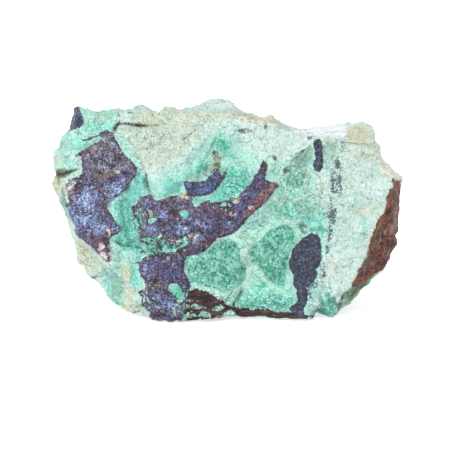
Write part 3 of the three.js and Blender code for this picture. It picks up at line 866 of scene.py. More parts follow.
# The crusts, from their slate ground to the last chips of other stone in them.
CRUST_LAYERS = (
    Layer(Pigment.MAUVE, grain=1.0, share=0.8, spots=(
        (-29, 41, 6, 5), (-25.6, 37, 3, 4), (-20, 25, 4, 5, 0.9), (-14, 28.6, 4, 2, 0.9),
        (-17, 6, 3, 1.6, 0.8), (-5, 28, 3, 1.5, 0.8),
    )),
    Layer(Pigment.INDIGO, grain=0.6, share=0.45, spots=(
        (-15, 7, 8, 9, 1.1), (5, 29.6, 9, 5, 1.1, 45), (-5, 33.6, 6, 3.6, 1, 20), (-3, 24, 8, 4, 0.9, 25),
    )),
    Layer(Pigment.GREY, grain=0.9, share=0.95, spots=(
        (-30.6, 42.6, 3, 3.4, 1.2, 20), (-31.8, 39, 4, 2.2, 1.2), (-38.6, 32.8, 1.5, 2.4, 1.3, 10),
        (-15, 2, 3.4, 1.6, 0.9),
    )),
    Layer(Pigment.VIOLET, grain=0.6, spots=(
        (-28.6, 31.4, 4, 2.4, 1.3, 30), (-34.6, 28.6, 2.8, 3.6, 1.3), (-36.6, 25.4, 3, 4.4, 1.2, -15),
        (-34, 22.4, 4, 1.8, 1.1, 10), (-27.6, 22.8, 1.3, 2, 0.9), (-20.2, 28.2, 1.8, 1.3, 1.2),
        (-16.6, 26, 1.8, 1.7, 1.2), (-18.6, 22.1, 2, 1, 1.1), (-12.8, 22.2, 3.4, 1.2, 1.2),
        (-7.3, 20.3, 1.5, 1.2, 1.2), (-6.6, 23.8, 2.6, 1.5, 0.9, 20), (0.2, 23.6, 2, 1.6, 0.8, 40),
        (-10.6, 25, 2, 0.8, 0.9, 30), (-20, 12, 1.6, 2, 1.2), (-15.6, 13.6, 3, 1, 0.8), (-15.6, 3.4, 3, 1.2),
        (-17.8, 5.2, 1.6, 1, 0.9), (-15.6, 1.4, 2, 0.9),
    )),
    # Pale blue of the crusts, partly a painted sheen.
    Layer(Pigment.AZURE, grain=0.6, share=0.8, spots=(
        (-28.4, 30.6, 2.8, 1, 1.2, 30), (-27, 33.6, 1.6, 1, 1.1, 20), (-34.8, 28.6, 1.6, 2.2, 1.2),
        (-35.6, 25.6, 2, 1.6, 0.9), (-31.7, 22.6, 0.8, 1.6, 1.2), (-30.4, 31.8, 1.6, 0.9, 1.1),
        (-7.4, 20.5, 1, 0.8, 1.3), (-12.4, 22.4, 2.8, 0.8, 0.7), (-20.4, 12, 0.8, 1.5, 1.2),
        (-15.6, 4.8, 2.6, 0.6, 0.7),
    )),
    Layer(Pigment.STEEL, grain=0.7, share=0.95, spots=(
        (-7.6, 32.4, 3.4, 1.4, 1.2, 8), (0.4, 24, 2.4, 1, 0.8, 40), (-20, 11.4, 1.2, 1.2, 0.8),
        (-16.4, 4.4, 3, 0.5, 0.9),
    )),
    Layer(Pigment.INDIGO, grain=0.9, share=0.85, spots=(
        (-15, 12, 3.6, 1.8, 1.1), (6.4, 32.4, 3.2, 1.4, 1.1, 48), (-28.8, 35, 2.4, 0.6, 1, 20),
        (-17.6, 24, 1.6, 0.6, 0.8), (-4, 22.4, 3, 0.6, 0.9, 30), (2.8, 27, 3, 1.6, 0.9, 45),
        (-19, 23.2, 2, 0.4, 0.8), (-17.4, 14.4, 2, 0.5, 0.8),
    )),
    Layer(Pigment.MAROON, grain=1.0, share=0.85, spots=(
        (37.6, 18.6, 4.5, 7, 1.3, -28), (40.6, 26, 1.6, 5, 0.9), (-31, 29.4, 0.7, 3, 1.1, 20),
        (-14, 26.6, 1.3, 0.9, 1.2), (-13.8, 19.6, 1.8, 1.2, 1.3), (-3, 26.2, 1.6, 1.2, 1.1, 20),
        (-17, 15.6, 3, 0.7, 1.1), (-12, 16.6, 1.6, 1, 1.1, 20), (-5, 18.8, 2.6, 0.9, 1.3, 32),
        (-16, 9.6, 5, 0.4, 0.9), (-6, 27.6, 1.2, 1), (-20.4, 26, 0.7, 1.8, 0.8),
        (-37, 20.8, 2, 0.8, 0.8, 30), (-32.6, 19, 2, 1.4, 1.1, 40), (9.2, 37, 0.8, 1.4, 0.9, 30),
        (-22.4, 26.6, 0.8, 1.6, 0.8), (-16.8, 12, 4, 0.3, 0.8), (-17.4, 1, 2, 0.6, 0.8),
        (-1.4, 21.6, 1.6, 0.5, 0.8, 20),
    )),
    Layer(Pigment.RUST, border=0.5, grain=1.0, share=0.85, areas=(
        ((3.4, 25.6), (5.6, 28.6), (7.6, 31), (9.2, 33.4), (11.6, 34.2), (12.9, 33), (10.5, 30), (8.4, 27.6),
         (6, 25.4)),
    ), spots=(
        (41.4, 33.4, 0.8, 1.4), (39.9, 29.4, 0.7, 2.4, 1.1), (38.2, 24.4, 0.6, 2.6, 1.1, -25),
        (36, 18.6, 0.5, 3, 0.8, -25), (-31, 36.2, 2.6, 1, 0.45), (-38.6, 29.6, 0.9, 0.9, 0.5),
        (-34.2, 42, 2, 0.8, 0.45, 10),
    )),
    Layer(Pigment.OLIVE, grain=0.9, share=0.8, spots=(
        (-32.6, 36.2, 1.6, 0.7, 1.1), (-17.4, 8.3, 1.6, 0.6, 1.2), (-6.8, 21.8, 0.6, 0.9, 1, 30),
        (-18.4, 26.4, 0.8, 0.5, 0.9),
    )),
    Layer(Pigment.AZURE, grain=0.9, spots=((-38.6, 50.6, 1.2, 2.2, 1.2, -10),)),
    Layer(Pigment.NIGHT, border=0.3, grain=0.9, share=0.75, spots=(
        (20, 12, 4, 9, 0.9), (22.6, 41, 1.4, 5, 0.9), (-8.6, 17, 1.8, 0.6, 1.1, 10),
        (-4.6, 18.7, 1.8, 0.5, 1.1, 40), (-10.6, 16.4, 1, 0.8), (-9.2, 7.6, 1, 0.6),
        (-18.4, 8.8, 1.4, 0.5, 0.9), (8.9, 38.4, 0.5, 0.9), (-17.8, 6.6, 1.6, 1, 0.6),
        (-15.2, 9.4, 1.6, 0.7, 0.65), (-12.7, 1.6, 0.9, 1.6, 0.7), (7.2, 33, 1.4, 1.8, 0.6, -30),
        (-2.6, 22.8, 3.4, 1, 0.6, 28),
    ), lines=(
        ((-12, 17, 0.2), (-9, 17, 0.4), (-6.5, 17, 0.5), (-4.5, 18.3, 0.4), (-2.5, 19.9, 0.3),
         (0, 21.3, 0.3), (2.5, 22.9, 0.3), (4.4, 24.8, 0.2), (7, 27, 0.1)),
        ((-10.4, 15.6, 0.3), (-11.2, 13.2, 0.25), (-10.8, 11, 0.25), (-9.8, 9, 0.35), (-9.8, 7, 0.3)),
        ((-21.4, 15.3, 0.2), (-18, 16.1, 0.25), (-16, 15.9, 0.25), (-13, 15.5, 0.2)),
        ((-11, 34, 0.2), (-11, 31.6, 0.3), (-10, 30.8, 0.3), (-8, 30.5, 0.2), (-5.5, 30.9, 0.2),
         (-3.4, 32.1, 0.35), (-1.8, 34, 0.35), (-0.8, 35.8, 0.2)),
        ((-10.9, 34, 0.2), (-7, 34.1, 0.15), (-5.6, 34.4, 0.2), (-4.6, 36, 0.3)),
        ((-30.2, 27.8, 0.15), (-28.6, 29, 0.2), (-26.6, 30.3, 0.2), (-25, 32.3, 0.15), (-24, 34.6, 0.1)),
        ((-19.6, 27, 0.1), (-19, 24.8, 0.2), (-15.4, 24.2, 0.15), (-12.6, 24.6, 0.2), (-10, 24.8, 0.1)),
        ((3.8, 31.4, 0.2), (6, 34.2, 0.25), (8.4, 37.6, 0.2)),
        ((-21, 10, 0.1), (-17, 10, 0.2), (-13, 10.4, 0.15), (-10.6, 9.6, 0.2)),
        ((-27.6, 40.4, 0.1), (-28.6, 38.2, 0.2), (-29.8, 36.6, 0.1)),
        ((-30.7, 20.4, 0.1), (-30.3, 17.4, 0.2), (-30, 14.4, 0.15)),
        ((40.8, 27.6, 0.4), (39.6, 24, 0.6), (38.6, 20.4, 0.4)),
        ((41.3, 32.2, 0.2), (41.4, 30, 0.3), (41.6, 28.6, 0.2)),
        ((36.4, 12.6, 0.2), (39.4, 15.6, 0.3), (41, 18, 0.2)),
    )),
    Layer(Pigment.TAN, grain=0.8, share=0.85, spots=(
        (-27.4, 36.9, 0.35, 0.4, 0.9, 20), (-11.2, 30.3, 0.8, 0.7, 1.2), (-9.3, 20.3, 0.4, 0.4, 1.2),
        (-8.4, 19.4, 0.4, 0.3, 1.2), (1.8, 29.4, 0.9, 0.4, 1.1, 10), (0.4, 26.4, 0.7, 0.25, 1, 20),
        (-19.2, 26.4, 0.3, 0.5, 0.9),
    )),
    Layer(Pigment.FLAKE, border=0.5, grain=1.6, share=0.8, lines=(
        ((43.4, 34.6, 0.3), (43.2, 31, 0.4), (42.7, 27, 0.5), (42, 22, 0.5), (42.4, 19.6, 0.2)),
    )),
    Layer(Pigment.FLAKE, share=0.95, spots=(
        (-31.7, 17.9, 0.6, 0.9, 1.4), (-31.2, 15.7, 0.5, 1, 1.4, 12), (-29.6, 16.4, 0.35, 2, 1.2, 4),
        (-29.7, 21.4, 0.3, 0.9, 1.1), (-30.4, 14.8, 0.5, 0.5, 1.2), (-38.3, 32.6, 1.3, 2.4, 0.45, 10),
        (-13.9, 13, 0.35, 0.3, 1.3), (5.2, 27.6, 0.2, 0.9, 1.2, -8), (-23.4, 22.8, 0.3, 0.8),
        (1.2, 25.9, 0.8, 0.15, 0.9), (-35, 41, 0.3, 0.2, 0.7),
    )),
)

# Pigments of the hidden sides: each is laid where noise of a size is over a level.
HIDDEN_ROCK = (
    (Pigment.MINT, 15, -0.2), (Pigment.HAZE, 11, 0.25), (Pigment.TEAL, 12, 0.3), (Pigment.CREAM, 13, 0.25),
    (Pigment.JADE, 7, 0.55), (Pigment.TAN, 8, 0.6), (Pigment.SAGE, 9, 0.5), (Pigment.DEEP, 4, 0.8),
    (Pigment.OLIVE, 5, 0.95),
)
HIDDEN_CRUST = (
    (Pigment.MAUVE, 6, 0.1), (Pigment.VIOLET, 5, 0.0), (Pigment.AZURE, 3.5, 0.4), (Pigment.INDIGO, 4, 0.4),
    (Pigment.MAROON, 4.5, 0.35), (Pigment.RUST, 4, 0.55), (Pigment.TAN, 1.6, 0.95),
)

# The soft fields as spots: where the rock is gritty, where dark specks pepper it, where the crusts break up
# at their borders, where they are streaky, and where inky specks lie.
GRITTY = (
    (-3.5, 12.5, 7.4, 7.4, 1.3), (11.4, 16, 5, 7.4, 1.2, -30), (1.5, 33.5, 4.6, 4, 0.9), (9, 4, 8, 2.4),
    (-25, 26, 3, 9, 0.6), (16.5, 34, 4, 3.4, 0.8), (-17, 18, 5, 2.4, 0.7), (16, 27, 7, 4, 0.55),
    (25, 3, 2.4, 2.6, 0.9), (-5, 2, 7, 2.4, 0.9), (-1.2, 43, 3, 1.4, 0.5, -61), (-33, 45, 6, 5, 0.4),
    (6, 24, 6, 3, 0.5, 40),
)
PEPPERED = (
    (-17, 45, 11, 6, 1.2), (-5, 50.5, 16, 3), (8, 45, 9, 4, 0.8), (31, 36, 8, 5, 0.6), (26, 26, 3, 12, 0.5),
    (25, 42.6, 4, 2), (18, 39, 4, 4, 0.9), (-39, 40, 4, 5, 0.4), (-27, 8, 4, 6, 0.5), (24, 10, 2.4, 8, 0.8),
    (33, 18, 5, 8, 0.3), (-14, 38, 6, 4, 0.7),
)
LOOSE = (
    (-22.4, 24.6, 2.2, 5, 0.9), (-17, 19.2, 6, 1.6, 0.9), (-20, 30, 2, 1.2, 0.7), (-38, 34.5, 2, 1.2, 0.7),
    (-11, 26.2, 1.6, 1.4), (-19.4, 24.4, 1.6, 1.4), (-12, 4, 2, 3.4), (-20.6, 4, 1.6, 5, 0.8),
    (-6, 28.6, 4, 1, 0.6), (-3, 37.6, 2, 2), (2, 29.6, 3, 1, 0.6, 40), (-19, 16, 4, 1.2, 0.7),
    (-9, 17.4, 2.4, 1, 0.6),
)
STREAKY = (
    (-15.4, 6.6, 6, 8, 1.2), (-14, 24, 9, 2, 0.5, 6), (4, 29, 6, 2.4, 0.4, 45), (39.5, 20, 5, 9, 0.9),
)
SPECKLED = (
    (26.2, 33.8, 0.6, 3.4, 1.05, 2), (27.9, 33.6, 0.6, 3.2, 1.05), (27, 34, 1.7, 4.4, 0.7),
    (27.4, 38.8, 0.7, 2, 1.05, 8), (25.7, 29.2, 0.4, 1.6, 1.05), (26.1, 25.6, 1.1, 2.4),
    (25.5, 21, 0.7, 3.2, 0.95, -4), (24.8, 17, 0.5, 1.4, 0.9), (23.5, 11.6, 1, 2.4, 0.8),
    (21.6, 8.4, 1.4, 1, 0.8), (20.4, 6.4, 0.9, 2, 0.75), (28.6, 42.6, 0.6, 1.8, 0.6),
    (20.4, 45, 1.2, 0.4, 0.9), (18.6, 41.8, 1.2, 0.25, 1, 30), (23.2, 42, 0.8, 3, 0.5),
)


@dataclass(frozen=True)
class Marking:
    """A marking with hard borders.

    Attributes:
        areas: its closed outlines of (a, b).
        lines: its lines of (a, b, half width).
        holes: spots, as spot_field takes them, that are left out of it.
        hidden: size, level and height of the noise that makes its patches on the hidden sides.
        thins: whether it gets thinner round the sides.
    """

    areas: tuple[Points, ...] = ()
    lines: tuple[Points, ...] = ()
    holes: Points = ()
    hidden: Triple = (14, 0.6, 6)
    thins: bool = False

    def depth(self, flat: Array) -> Array:
        """How deep each place lies inside the marking, less its holes.

        Args:
            flat: the places (a, b).

        Returns:
            The depths in millimetres, negative outside.
        """
        depths = [depth_inside(flat, area) for area in self.areas]
        depths += [line_depth(flat, line) for line in self.lines]
        depth = np.max(depths, axis=0)
        return np.minimum(depth, HOLE_SLOPE * (0.5 - spots_field(flat, self.holes)))

    def behind(self, bent: Array, seed: int, bare: Array) -> Array:
        """The depths on the hidden sides: its own noise at bent places, less how bare each place is."""
        size, level, height = self.hidden
        return height * (lumps(bent + SEED_SHIFT * seed, size, PATCH_OCTAVES) - level) - bare


@dataclass(frozen=True)
class LineMarking(Marking):
    """A marking of thin lines, which follow the zero lines of a noise on the hidden sides.

    Attributes:
        net_size: width of that noise's cells in millimetres.
        half_width: how deep the middle of a line is, in millimetres.
        flank: how fast the depth falls away from it, in millimetres per unit of the noise.
    """

    net_size: float = 18
    half_width: float = 0.25
    flank: float = 12

    def behind(self, bent: Array, seed: int, bare: Array) -> Array:
        """The depths on the hidden sides, where the lines run on everywhere and no place is bare of them."""
        ridge = np.abs(lumps(bent + SEED_SHIFT * seed, self.net_size, PATCH_OCTAVES))
        return self.half_width - self.flank * ridge


# Outlines (a, b) and lines (a, b, half width) of the markings. Where a half width is below zero, only the
# grains of the line's frayed edge are left.
LEFT_CRUST = (
    (-31, 46.5), (-30.25, 47), (-28.5, 46.25), (-28.25, 44.75), (-27.25, 43), (-26.5, 41.5), (-25, 40),
    (-23.5, 38.75), (-22.5, 37.5), (-23, 35.75), (-24, 34.25), (-24.9, 32.6), (-26, 31.6), (-27.6, 30.4),
    (-29.4, 29.2), (-30.25, 27.5), (-29, 25.5), (-28, 24), (-26.25, 22.25), (-27.75, 21), (-29, 20.5),
    (-29.75, 19.5), (-29.25, 17), (-29.25, 14.5), (-30, 14), (-31.5, 15), (-33.25, 17), (-34.5, 18),
    (-36, 19.25), (-37.25, 20), (-38.25, 21), (-38.25, 22.5), (-39.5, 25.25), (-40.25, 27.75),
    (-39.75, 28.75), (-40, 31.5), (-40.5, 33), (-39.75, 34.5), (-38.5, 34.9), (-37.2, 35), (-36.5, 36.5),
    (-36.5, 39.5), (-36.75, 40.5), (-38.75, 40.25), (-37, 41.75), (-34, 43.2), (-32.2, 44.3), (-31.4, 45),
    (-31.5, 45.75),
)
MIDDLE_CRUST = (
    (-24, 27.5), (-21.75, 30), (-20.5, 30.5), (-19.5, 30.75), (-18, 29.25), (-17, 29.5), (-15.75, 30),
    (-13, 30.5), (-11.5, 31.25), (-9.5, 30.6), (-8.6, 29.7), (-8.7, 28.7), (-8.5, 28), (-8.2, 27.8),
    (-7, 28.4), (-6, 29.2), (-4.9, 29.4), (-4.2, 29), (-2.75, 28.7), (-1.5, 28.8), (-0.5, 29.3), (1, 29.9),
    (2.5, 30), (3.25, 30.75), (3.75, 32), (4.75, 32.75), (5.75, 33.75), (6.25, 35), (7.25, 36.25), (8, 37.5),
    (8.75, 39.5), (9.75, 38.5), (10, 37.5), (9.5, 36.5), (9.5, 34.5), (11, 34), (12, 33.75), (12.75, 33),
    (11.75, 32), (11.25, 31), (10.5, 30), (9.5, 29), (8.5, 28), (7.25, 27), (6.5, 26), (5.5, 25.5),
    (4.75, 24.75), (3.75, 23.3), (3, 22.4), (2, 21.5), (1, 21), (0, 20.6), (-1.5, 20.4), (-2.75, 19.7),
    (-3.75, 18.6), (-5, 17.3), (-6.25, 16.4), (-7.75, 15.7), (-10.2, 15.6), (-11.6, 16.6), (-11, 18),
    (-9.9, 18.6), (-10.2, 20.6), (-11.25, 20.8), (-12, 19.8), (-13, 18.8), (-14, 18), (-15, 18.25),
    (-15.75, 19), (-16.25, 20), (-17, 20.9), (-18.25, 20.2), (-19.5, 19.6), (-21.25, 19.75), (-22.25, 19.25),
    (-22.25, 21), (-23.5, 22), (-23.75, 24.5), (-23.75, 26),
)
SMALL_CRUST = (
    (-11.25, 34), (-10.25, 34.25), (-8.75, 34), (-7, 34.25), (-5.5, 34.5), (-4.75, 35.5), (-4.25, 36.5),
    (-3.75, 37.5), (-2.75, 37.5), (-2, 36.5), (-1.5, 35.5), (-0.75, 36.5), (-0.25, 36.75), (-0.5, 35.75),
    (-1, 34.75), (-1.75, 33.75), (-2.5, 32.5), (-3.25, 31.75), (-4.5, 31), (-6, 30.5), (-7.5, 30.25),
    (-9, 30.25), (-10.25, 30.75), (-10.75, 32), (-11, 33),
)
LOWER_CRUST = (
    (-24, 13.75), (-21.5, 14.4), (-21, 15.25), (-19, 15.75), (-17.75, 16.5), (-16.25, 16.5), (-15, 16.3),
    (-13.25, 16.3), (-12.5, 17.2), (-11.75, 17.75), (-10.5, 17.75), (-9.75, 17.25), (-10.25, 15.5),
    (-11, 14), (-11, 12.5), (-10.5, 11), (-9.75, 9.5), (-9.25, 8), (-10, 6.5), (-10.25, 4.5), (-10.75, 2.5),
    (-11.25, 0.5), (-12, -2), (-19, -2), (-19.7, 1.25), (-20.9, 2.5), (-21.7, 3.75), (-21.4, 5.25),
    (-22, 5.75), (-22.5, 6.5), (-20.5, 7), (-20.5, 8.5), (-20.75, 9.5), (-21.9, 10.5), (-22.5, 12),
    (-22.3, 13.4),
)
HORN = (
    (-41, 47), (-41, 50), (-40, 53), (-37.5, 53.5), (-37.2, 52), (-36.7, 50.4), (-36.3, 48.9), (-36.7, 48.3),
    (-37.3, 47.9), (-38, 47.9), (-38.4, 47.3), (-39.2, 47.1),
)
INK_PATCH = (
    (18.25, 19.75), (19.75, 20.5), (20.75, 21.25), (22, 20.75), (23, 19.75), (23, 17.5), (23.25, 15),
    (23, 13.75), (22.25, 12.75), (21.5, 11.75), (22.25, 11), (21.25, 9.5), (20.25, 8.25), (19.5, 7.5),
    (19.75, 6.25), (19.5, 4.5), (19, 3), (18.75, 1.5), (19, 0), (17.75, 0.25), (16.25, 1.25), (15.5, 2.25),
    (16, 3), (17.25, 3.5), (17.75, 4.5), (17.25, 6), (17.5, 7.25), (16.7, 8), (16.2, 8.25), (16.9, 9.5),
    (16.7, 11), (15.8, 11.75), (15.4, 13.75), (15.9, 15.5), (16.25, 16.75), (17.25, 18), (18, 19),
)
INK_BAR = (
    (21.5, 43.5), (22, 44.4), (22.75, 44.5), (23.25, 43.5), (23.4, 42), (23.5, 39.5), (23.25, 37.5),
    (22.75, 36.75), (22, 37.25), (21.5, 38), (22, 40), (21.9, 42),
)
RUSTY_SIDE = (
    (41.5, 34.5), (41.75, 32.75), (40.5, 32.25), (40, 30.75), (39.25, 30), (39.75, 28.75), (39.25, 26.25),
    (38, 25.25), (37.1, 24), (36.6, 22), (35.4, 19.5), (35.25, 17), (34.5, 15.25), (33.25, 13.25),
    (32.25, 11.75), (31.5, 9.75), (31, 8.75), (30.75, 8), (32.5, 8.25), (34.25, 9.25), (36, 10.25),
    (37, 10.5), (40, 13), (44, 18), (45, 25), (45, 34), (42.4, 34.6),
)
BROWN_STRIP = (
    (-10.25, 5.75), (-10, 6.75), (-9, 7), (-7, 6.25), (-4.5, 5.25), (-2.75, 4.25), (-1, 3.25), (-2.5, 3),
    (-4.5, 2.5), (-5.75, 2.5), (-7, 3), (-8, 3.75), (-9.5, 4.75),
)
BROWN_BAND = (
    (1.25, 2.3), (3, 2.3), (5.5, 2.2), (8, 1.8), (10.5, 1.5), (13, 1.4), (15.5, 0.9), (17.5, 0.3),
    (19, -0.3), (15.5, -1), (10.5, -1), (5.5, -1), (2.5, -1), (1.5, 1),
)
LEFT_NODULE = (
    (-9.5, 16.25), (-8, 16), (-6.5, 16.25), (-4.75, 17.5), (-3.5, 18.75), (-1.75, 19.5), (0, 20), (2, 19.25),
    (3, 17.75), (3.25, 15.75), (4, 14), (4.75, 12), (4.75, 10.25), (3.9, 9), (2.6, 7.7), (0.6, 6.9),
    (-1, 6.3), (-3, 7), (-5, 7.6), (-7, 8), (-9.25, 9), (-10.5, 11), (-11, 12.5), (-11, 14), (-10.25, 15.25),
)
RIGHT_NODULE = (
    (5.25, 16.25), (5.75, 17.75), (7.25, 19.25), (8.75, 20.5), (10.5, 22), (12.5, 23), (14.75, 23.25),
    (16.25, 22.5), (17, 21.5), (16.5, 19.5), (16, 18), (15.6, 16.5), (15.6, 14.5), (14.6, 12.3),
    (14.2, 10.6), (14.4, 8.4), (14.4, 6.9), (13, 7.25), (10.75, 8.75), (9.5, 10), (8.5, 11.5), (7, 12.75),
    (5.5, 14),
)
VEIN_LINES = (
    ((3, 20, 0.5), (3.75, 17, 0.6), (4.5, 14, 0.5), (5.5, 10.75, 0.6), (5, 7.5, 0.4), (3.75, 5.25, 0.3)),
    ((7.5, 20, 0.4), (10, 22.4, 0.5), (13, 23.9, 0.5), (17, 24, 0.3)),
    ((-27.75, 45.7, 0.4), (-26.25, 44.2, 0.6), (-24.5, 41.9, 0.5), (-23.25, 39.5, 0.3)),
)
CRACK_LINES = (
    ((-43.6, 35.9, 0.3), (-42, 36, 0.35), (-40.6, 36.5, 0.25), (-39, 37, 0.2), (-37.25, 37, 0.1)),
    ((-28.2, 47.4, 0.25), (-27.6, 48.4, 0.35), (-26.4, 48.6, 0.2), (-24.5, 48.5, 0.25), (-22.25, 48, 0.35),
     (-19.5, 48.1, 0.2), (-17.25, 48.2, 0.05)),
    ((-20.25, 42.4, 0.15), (-19, 42.7, 0.15), (-17.2, 43.8, 0.05)),
    ((-11.2, 44.6, 0.1), (-9.5, 45.9, 0.2), (-8, 47.1, 0.05)),
    ((-27.6, 38.3, 0.2), (-26.9, 39.8, 0.2), (-26.2, 41.2, 0.1)),
    ((28.3, 44.5, 0.2), (30.5, 44, 0.2), (32.5, 43.6, 0.15), (35, 43.7, 0.05)),
    ((32.6, 31.2, 0.15), (33.5, 30.7, 0.1), (34.4, 30.2, 0.15), (35.8, 29.4, 0.1)),
    ((-22.4, 41, -0.1), (-21.2, 38, 0), (-20.4, 35.6, 0.15), (-20, 33, 0.15), (-19.3, 30.6, 0)),
    ((2.8, 46.9, 0.2), (4.6, 47.2, 0.25), (6.2, 46.8, 0.1)), ((9.2, 48.8, 0.1), (9.4, 47.4, 0.25)),
    ((-27.5, 51.6, 0.1), (-27.3, 49.2, 0.15)),
    ((27.3, 1.5, 0.25), (27.9, 4.6, 0.25), (29.4, 6.6, 0.25), (31.8, 8.2, 0.15)),
    ((-21.8, 20.4, 0.15), (-20, 20.5, 0.1), (-18.4, 19.9, 0.15), (-17.3, 19, 0.2), (-17.2, 17.6, 0.2),
     (-16.8, 16.4, 0.1)),
    ((-20.4, 19.8, 0.05), (-20.5, 18.6, 0.1), (-18.8, 18.4, 0.05), (-17.3, 18.3, 0.1)),
    ((-23.4, 17.9, 0.05), (-21.6, 17.5, 0.1), (-20.8, 16.2, 0.1)),
    ((-28.4, 19.4, 0.1), (-27, 18.4, 0.15), (-25.4, 18, 0.1), (-24, 17.9, 0.1)),
    ((-11.8, 20.4, 0.2), (-11, 19.2, 0.15), (-12.2, 18, 0.2)),
    ((1.2, 3.2, 0.3), (2.4, 5.2, 0.15), (3.6, 7.6, 0.05)),
    ((-0.6, 4, 0.2), (0.4, 5.6, 0.1), (1.6, 7.4, 0.05)),
    ((-41.4, 32.4, 0.15), (-41, 30, 0.25), (-40.5, 27.6, 0.15)), ((33.6, 40.8, 0.15), (33.9, 41.6, 0.1)),
    ((-16.4, 9.9, 0.1), (-14, 9.2, 0.1), (-11.8, 7.9, 0.2), (-10.8, 6.2, 0.1)),
    ((-15, 5.9, 0.1), (-13.4, 4.6, 0.1), (-11.6, 4.5, 0.15)),
    ((15.6, 39, -0.05), (17.2, 40.2, 0.05), (18.6, 41.4, 0.15), (19.6, 42.4, 0), (20.8, 43.2, -0.05)),
    ((-31, 10.8, 0.1), (-33, 10.6, 0.2), (-34, 11.6, 0.1)),
)
INK_LINES = (
    ((-37.3, 44.9, -0.2), (-36.2, 44.4, 0), (-34.6, 44.8, 0.05), (-33.2, 45.4, 0), (-31.4, 45.8, 0.3),
     (-30.4, 46.6, 0.2)),
    ((-36.9, 46.6, -0.1), (-37, 45.4, -0.1)), ((41.3, 34.6, 0.1), (41.7, 33.4, 0.15)),
)
SEAM_LINES = (
    ((0.5, 2.2, 0.6), (4, 1.8, 0.5), (9, 1.5, 0.6), (14, 1.1, 0.5), (19, 0.5, 0.3), (21.4, 0.6, 0.1)),
    ((-11, 4.2, 0.4), (-9.4, 3.4, 0.6), (-7.8, 4.4, 0.4)),
    ((-10.6, 1.6, 0.5), (-9, 2.4, 0.6), (-7.4, 1, 0.6), (-6, 2.4, 0.4)),
    ((-4.8, 2.6, 0.4), (-3.6, 0.6, 0.6), (-1.8, 1.4, 0.5)),
    ((-10, -0.4, 0.5), (-7, 0, 0.5), (-4.6, -0.6, 0.4)),
    ((-9.6, 1.2, 0.4), (-6, 2.2, 0.5), (-3, 1.2, 0.4), (0.5, 2.4, 0.5)),
    ((-12, 3.4, 0.3), (-9.8, 5.4, 0.5), (-8.4, 6.8, 0.7), (-5.4, 5.6, 0.9), (-2, 3.9, 0.7), (0.2, 2.8, 0.4)),
)
CRUST_HOLES = (
    (-11.4, 26.6, 0.8, 0.4, 1.2, 20), (-10.6, 26, 0.7, 0.7, 1.2), (-11.2, 25.6, 0.9, 0.35, 1.1, -20),
    (-21.9, 24.6, 0.35, 1.5, 1.1, 12), (-22.9, 22.6, 0.4, 0.6), (-19.4, 24.2, 0.7, 0.6, 1.1),
    (-13.2, 7.2, 1.6, 1.1, 1.3, -35), (-12, 5.6, 0.8, 0.8, 1.2), (-24.1, 25, 0.4, 0.8),
    (-22.4, 3.6, 0.8, 1.6), (-12, 4.4, 0.8, 0.8, 1.1), (-1.2, 28.3, 0.8, 0.4), (-19.6, 19.9, 0.9, 0.4),
)
CRUST_LINES = (
    ((-22.4, 19.4, 0.3), (-20.4, 18.8, 0.15), (-18.8, 19.4, 0.3), (-17.2, 18.6, 0.3), (-16.6, 16.8, 0.2)),
    ((-16.4, 19.6, 0.4), (-15, 19.8, 0.6), (-13.4, 19.2, 0.6), (-12, 18.4, 0.2)),
    ((-21.8, 16.6, 0.2), (-19.8, 17, 0.1), (-18.4, 16.6, 0.2)),
    ((-11.4, 19.8, 0.3), (-12.4, 18.2, 0.2), (-14.6, 17.4, 0.1)),
)
MARKINGS = {
    "crust": Marking(
        areas=(LEFT_CRUST, MIDDLE_CRUST, SMALL_CRUST, LOWER_CRUST), lines=CRUST_LINES, holes=CRUST_HOLES,
        hidden=(17, 0.3, 7),
    ),
    "ink": Marking(areas=(HORN, INK_PATCH, INK_BAR), lines=INK_LINES, hidden=(11, 1.05, 6), thins=True),
    "bark": Marking(areas=(RUSTY_SIDE,), hidden=(22, 0.8, 6)),
    "seam": Marking(areas=(BROWN_STRIP, BROWN_BAND), lines=SEAM_LINES, hidden=(12, 1.1, 5)),
    "nodule": Marking(areas=(LEFT_NODULE, RIGHT_NODULE), hidden=(14, 0.7, 6)),
    "crack": LineMarking(lines=CRACK_LINES, thins=True),
    "vein": LineMarking(lines=VEIN_LINES),
}


@dataclass(frozen=True)
class Tint:
    """A soft field: spots in front and soft patches on the hidden sides.

    Attributes:
        spots: ellipses, as spot_field takes them.
        behind: the mean strength of the patches.
    """

    spots: Points
    behind: float


TINTS = {
    "gritty": Tint(GRITTY, 0.4), "peppered": Tint(PEPPERED, 0.5), "loose": Tint(LOOSE, 0.5),
    "streaky": Tint(STREAKY, 0.5), "speckled": Tint(SPECKLED, 0.0),
}


@dataclass(frozen=True)
class Palette:
    """The colours of one kind of stone.

    Attributes:
        ground: its plainest pigment, under all others.
        layers: what is laid over it in front.
        patches: what is laid over it on the hidden sides: a pigment, and the size and level of its noise.
    """

    ground: Pigment
    layers: tuple[Layer, ...]
    patches: tuple[tuple[Pigment, float, float], ...]


PALETTES = {
    "rock": Palette(Pigment.PALE, ROCK_LAYERS, HIDDEN_ROCK),
    "crusting": Palette(Pigment.SLATE, CRUST_LAYERS, HIDDEN_CRUST),
}

# A turn about two axes, as a matrix whose rows are at right angles.
ASKEW = np.array([(0.8, -0.36, 0.48), (0.6, 0.48, -0.64), (0.0, 0.8, 0.6)])

DEEPEST = 8  # the fields of the markings end at this depth, in millimetres
FIRST_PATCH = 20  # seed of the first hidden pigment, above those of the markings

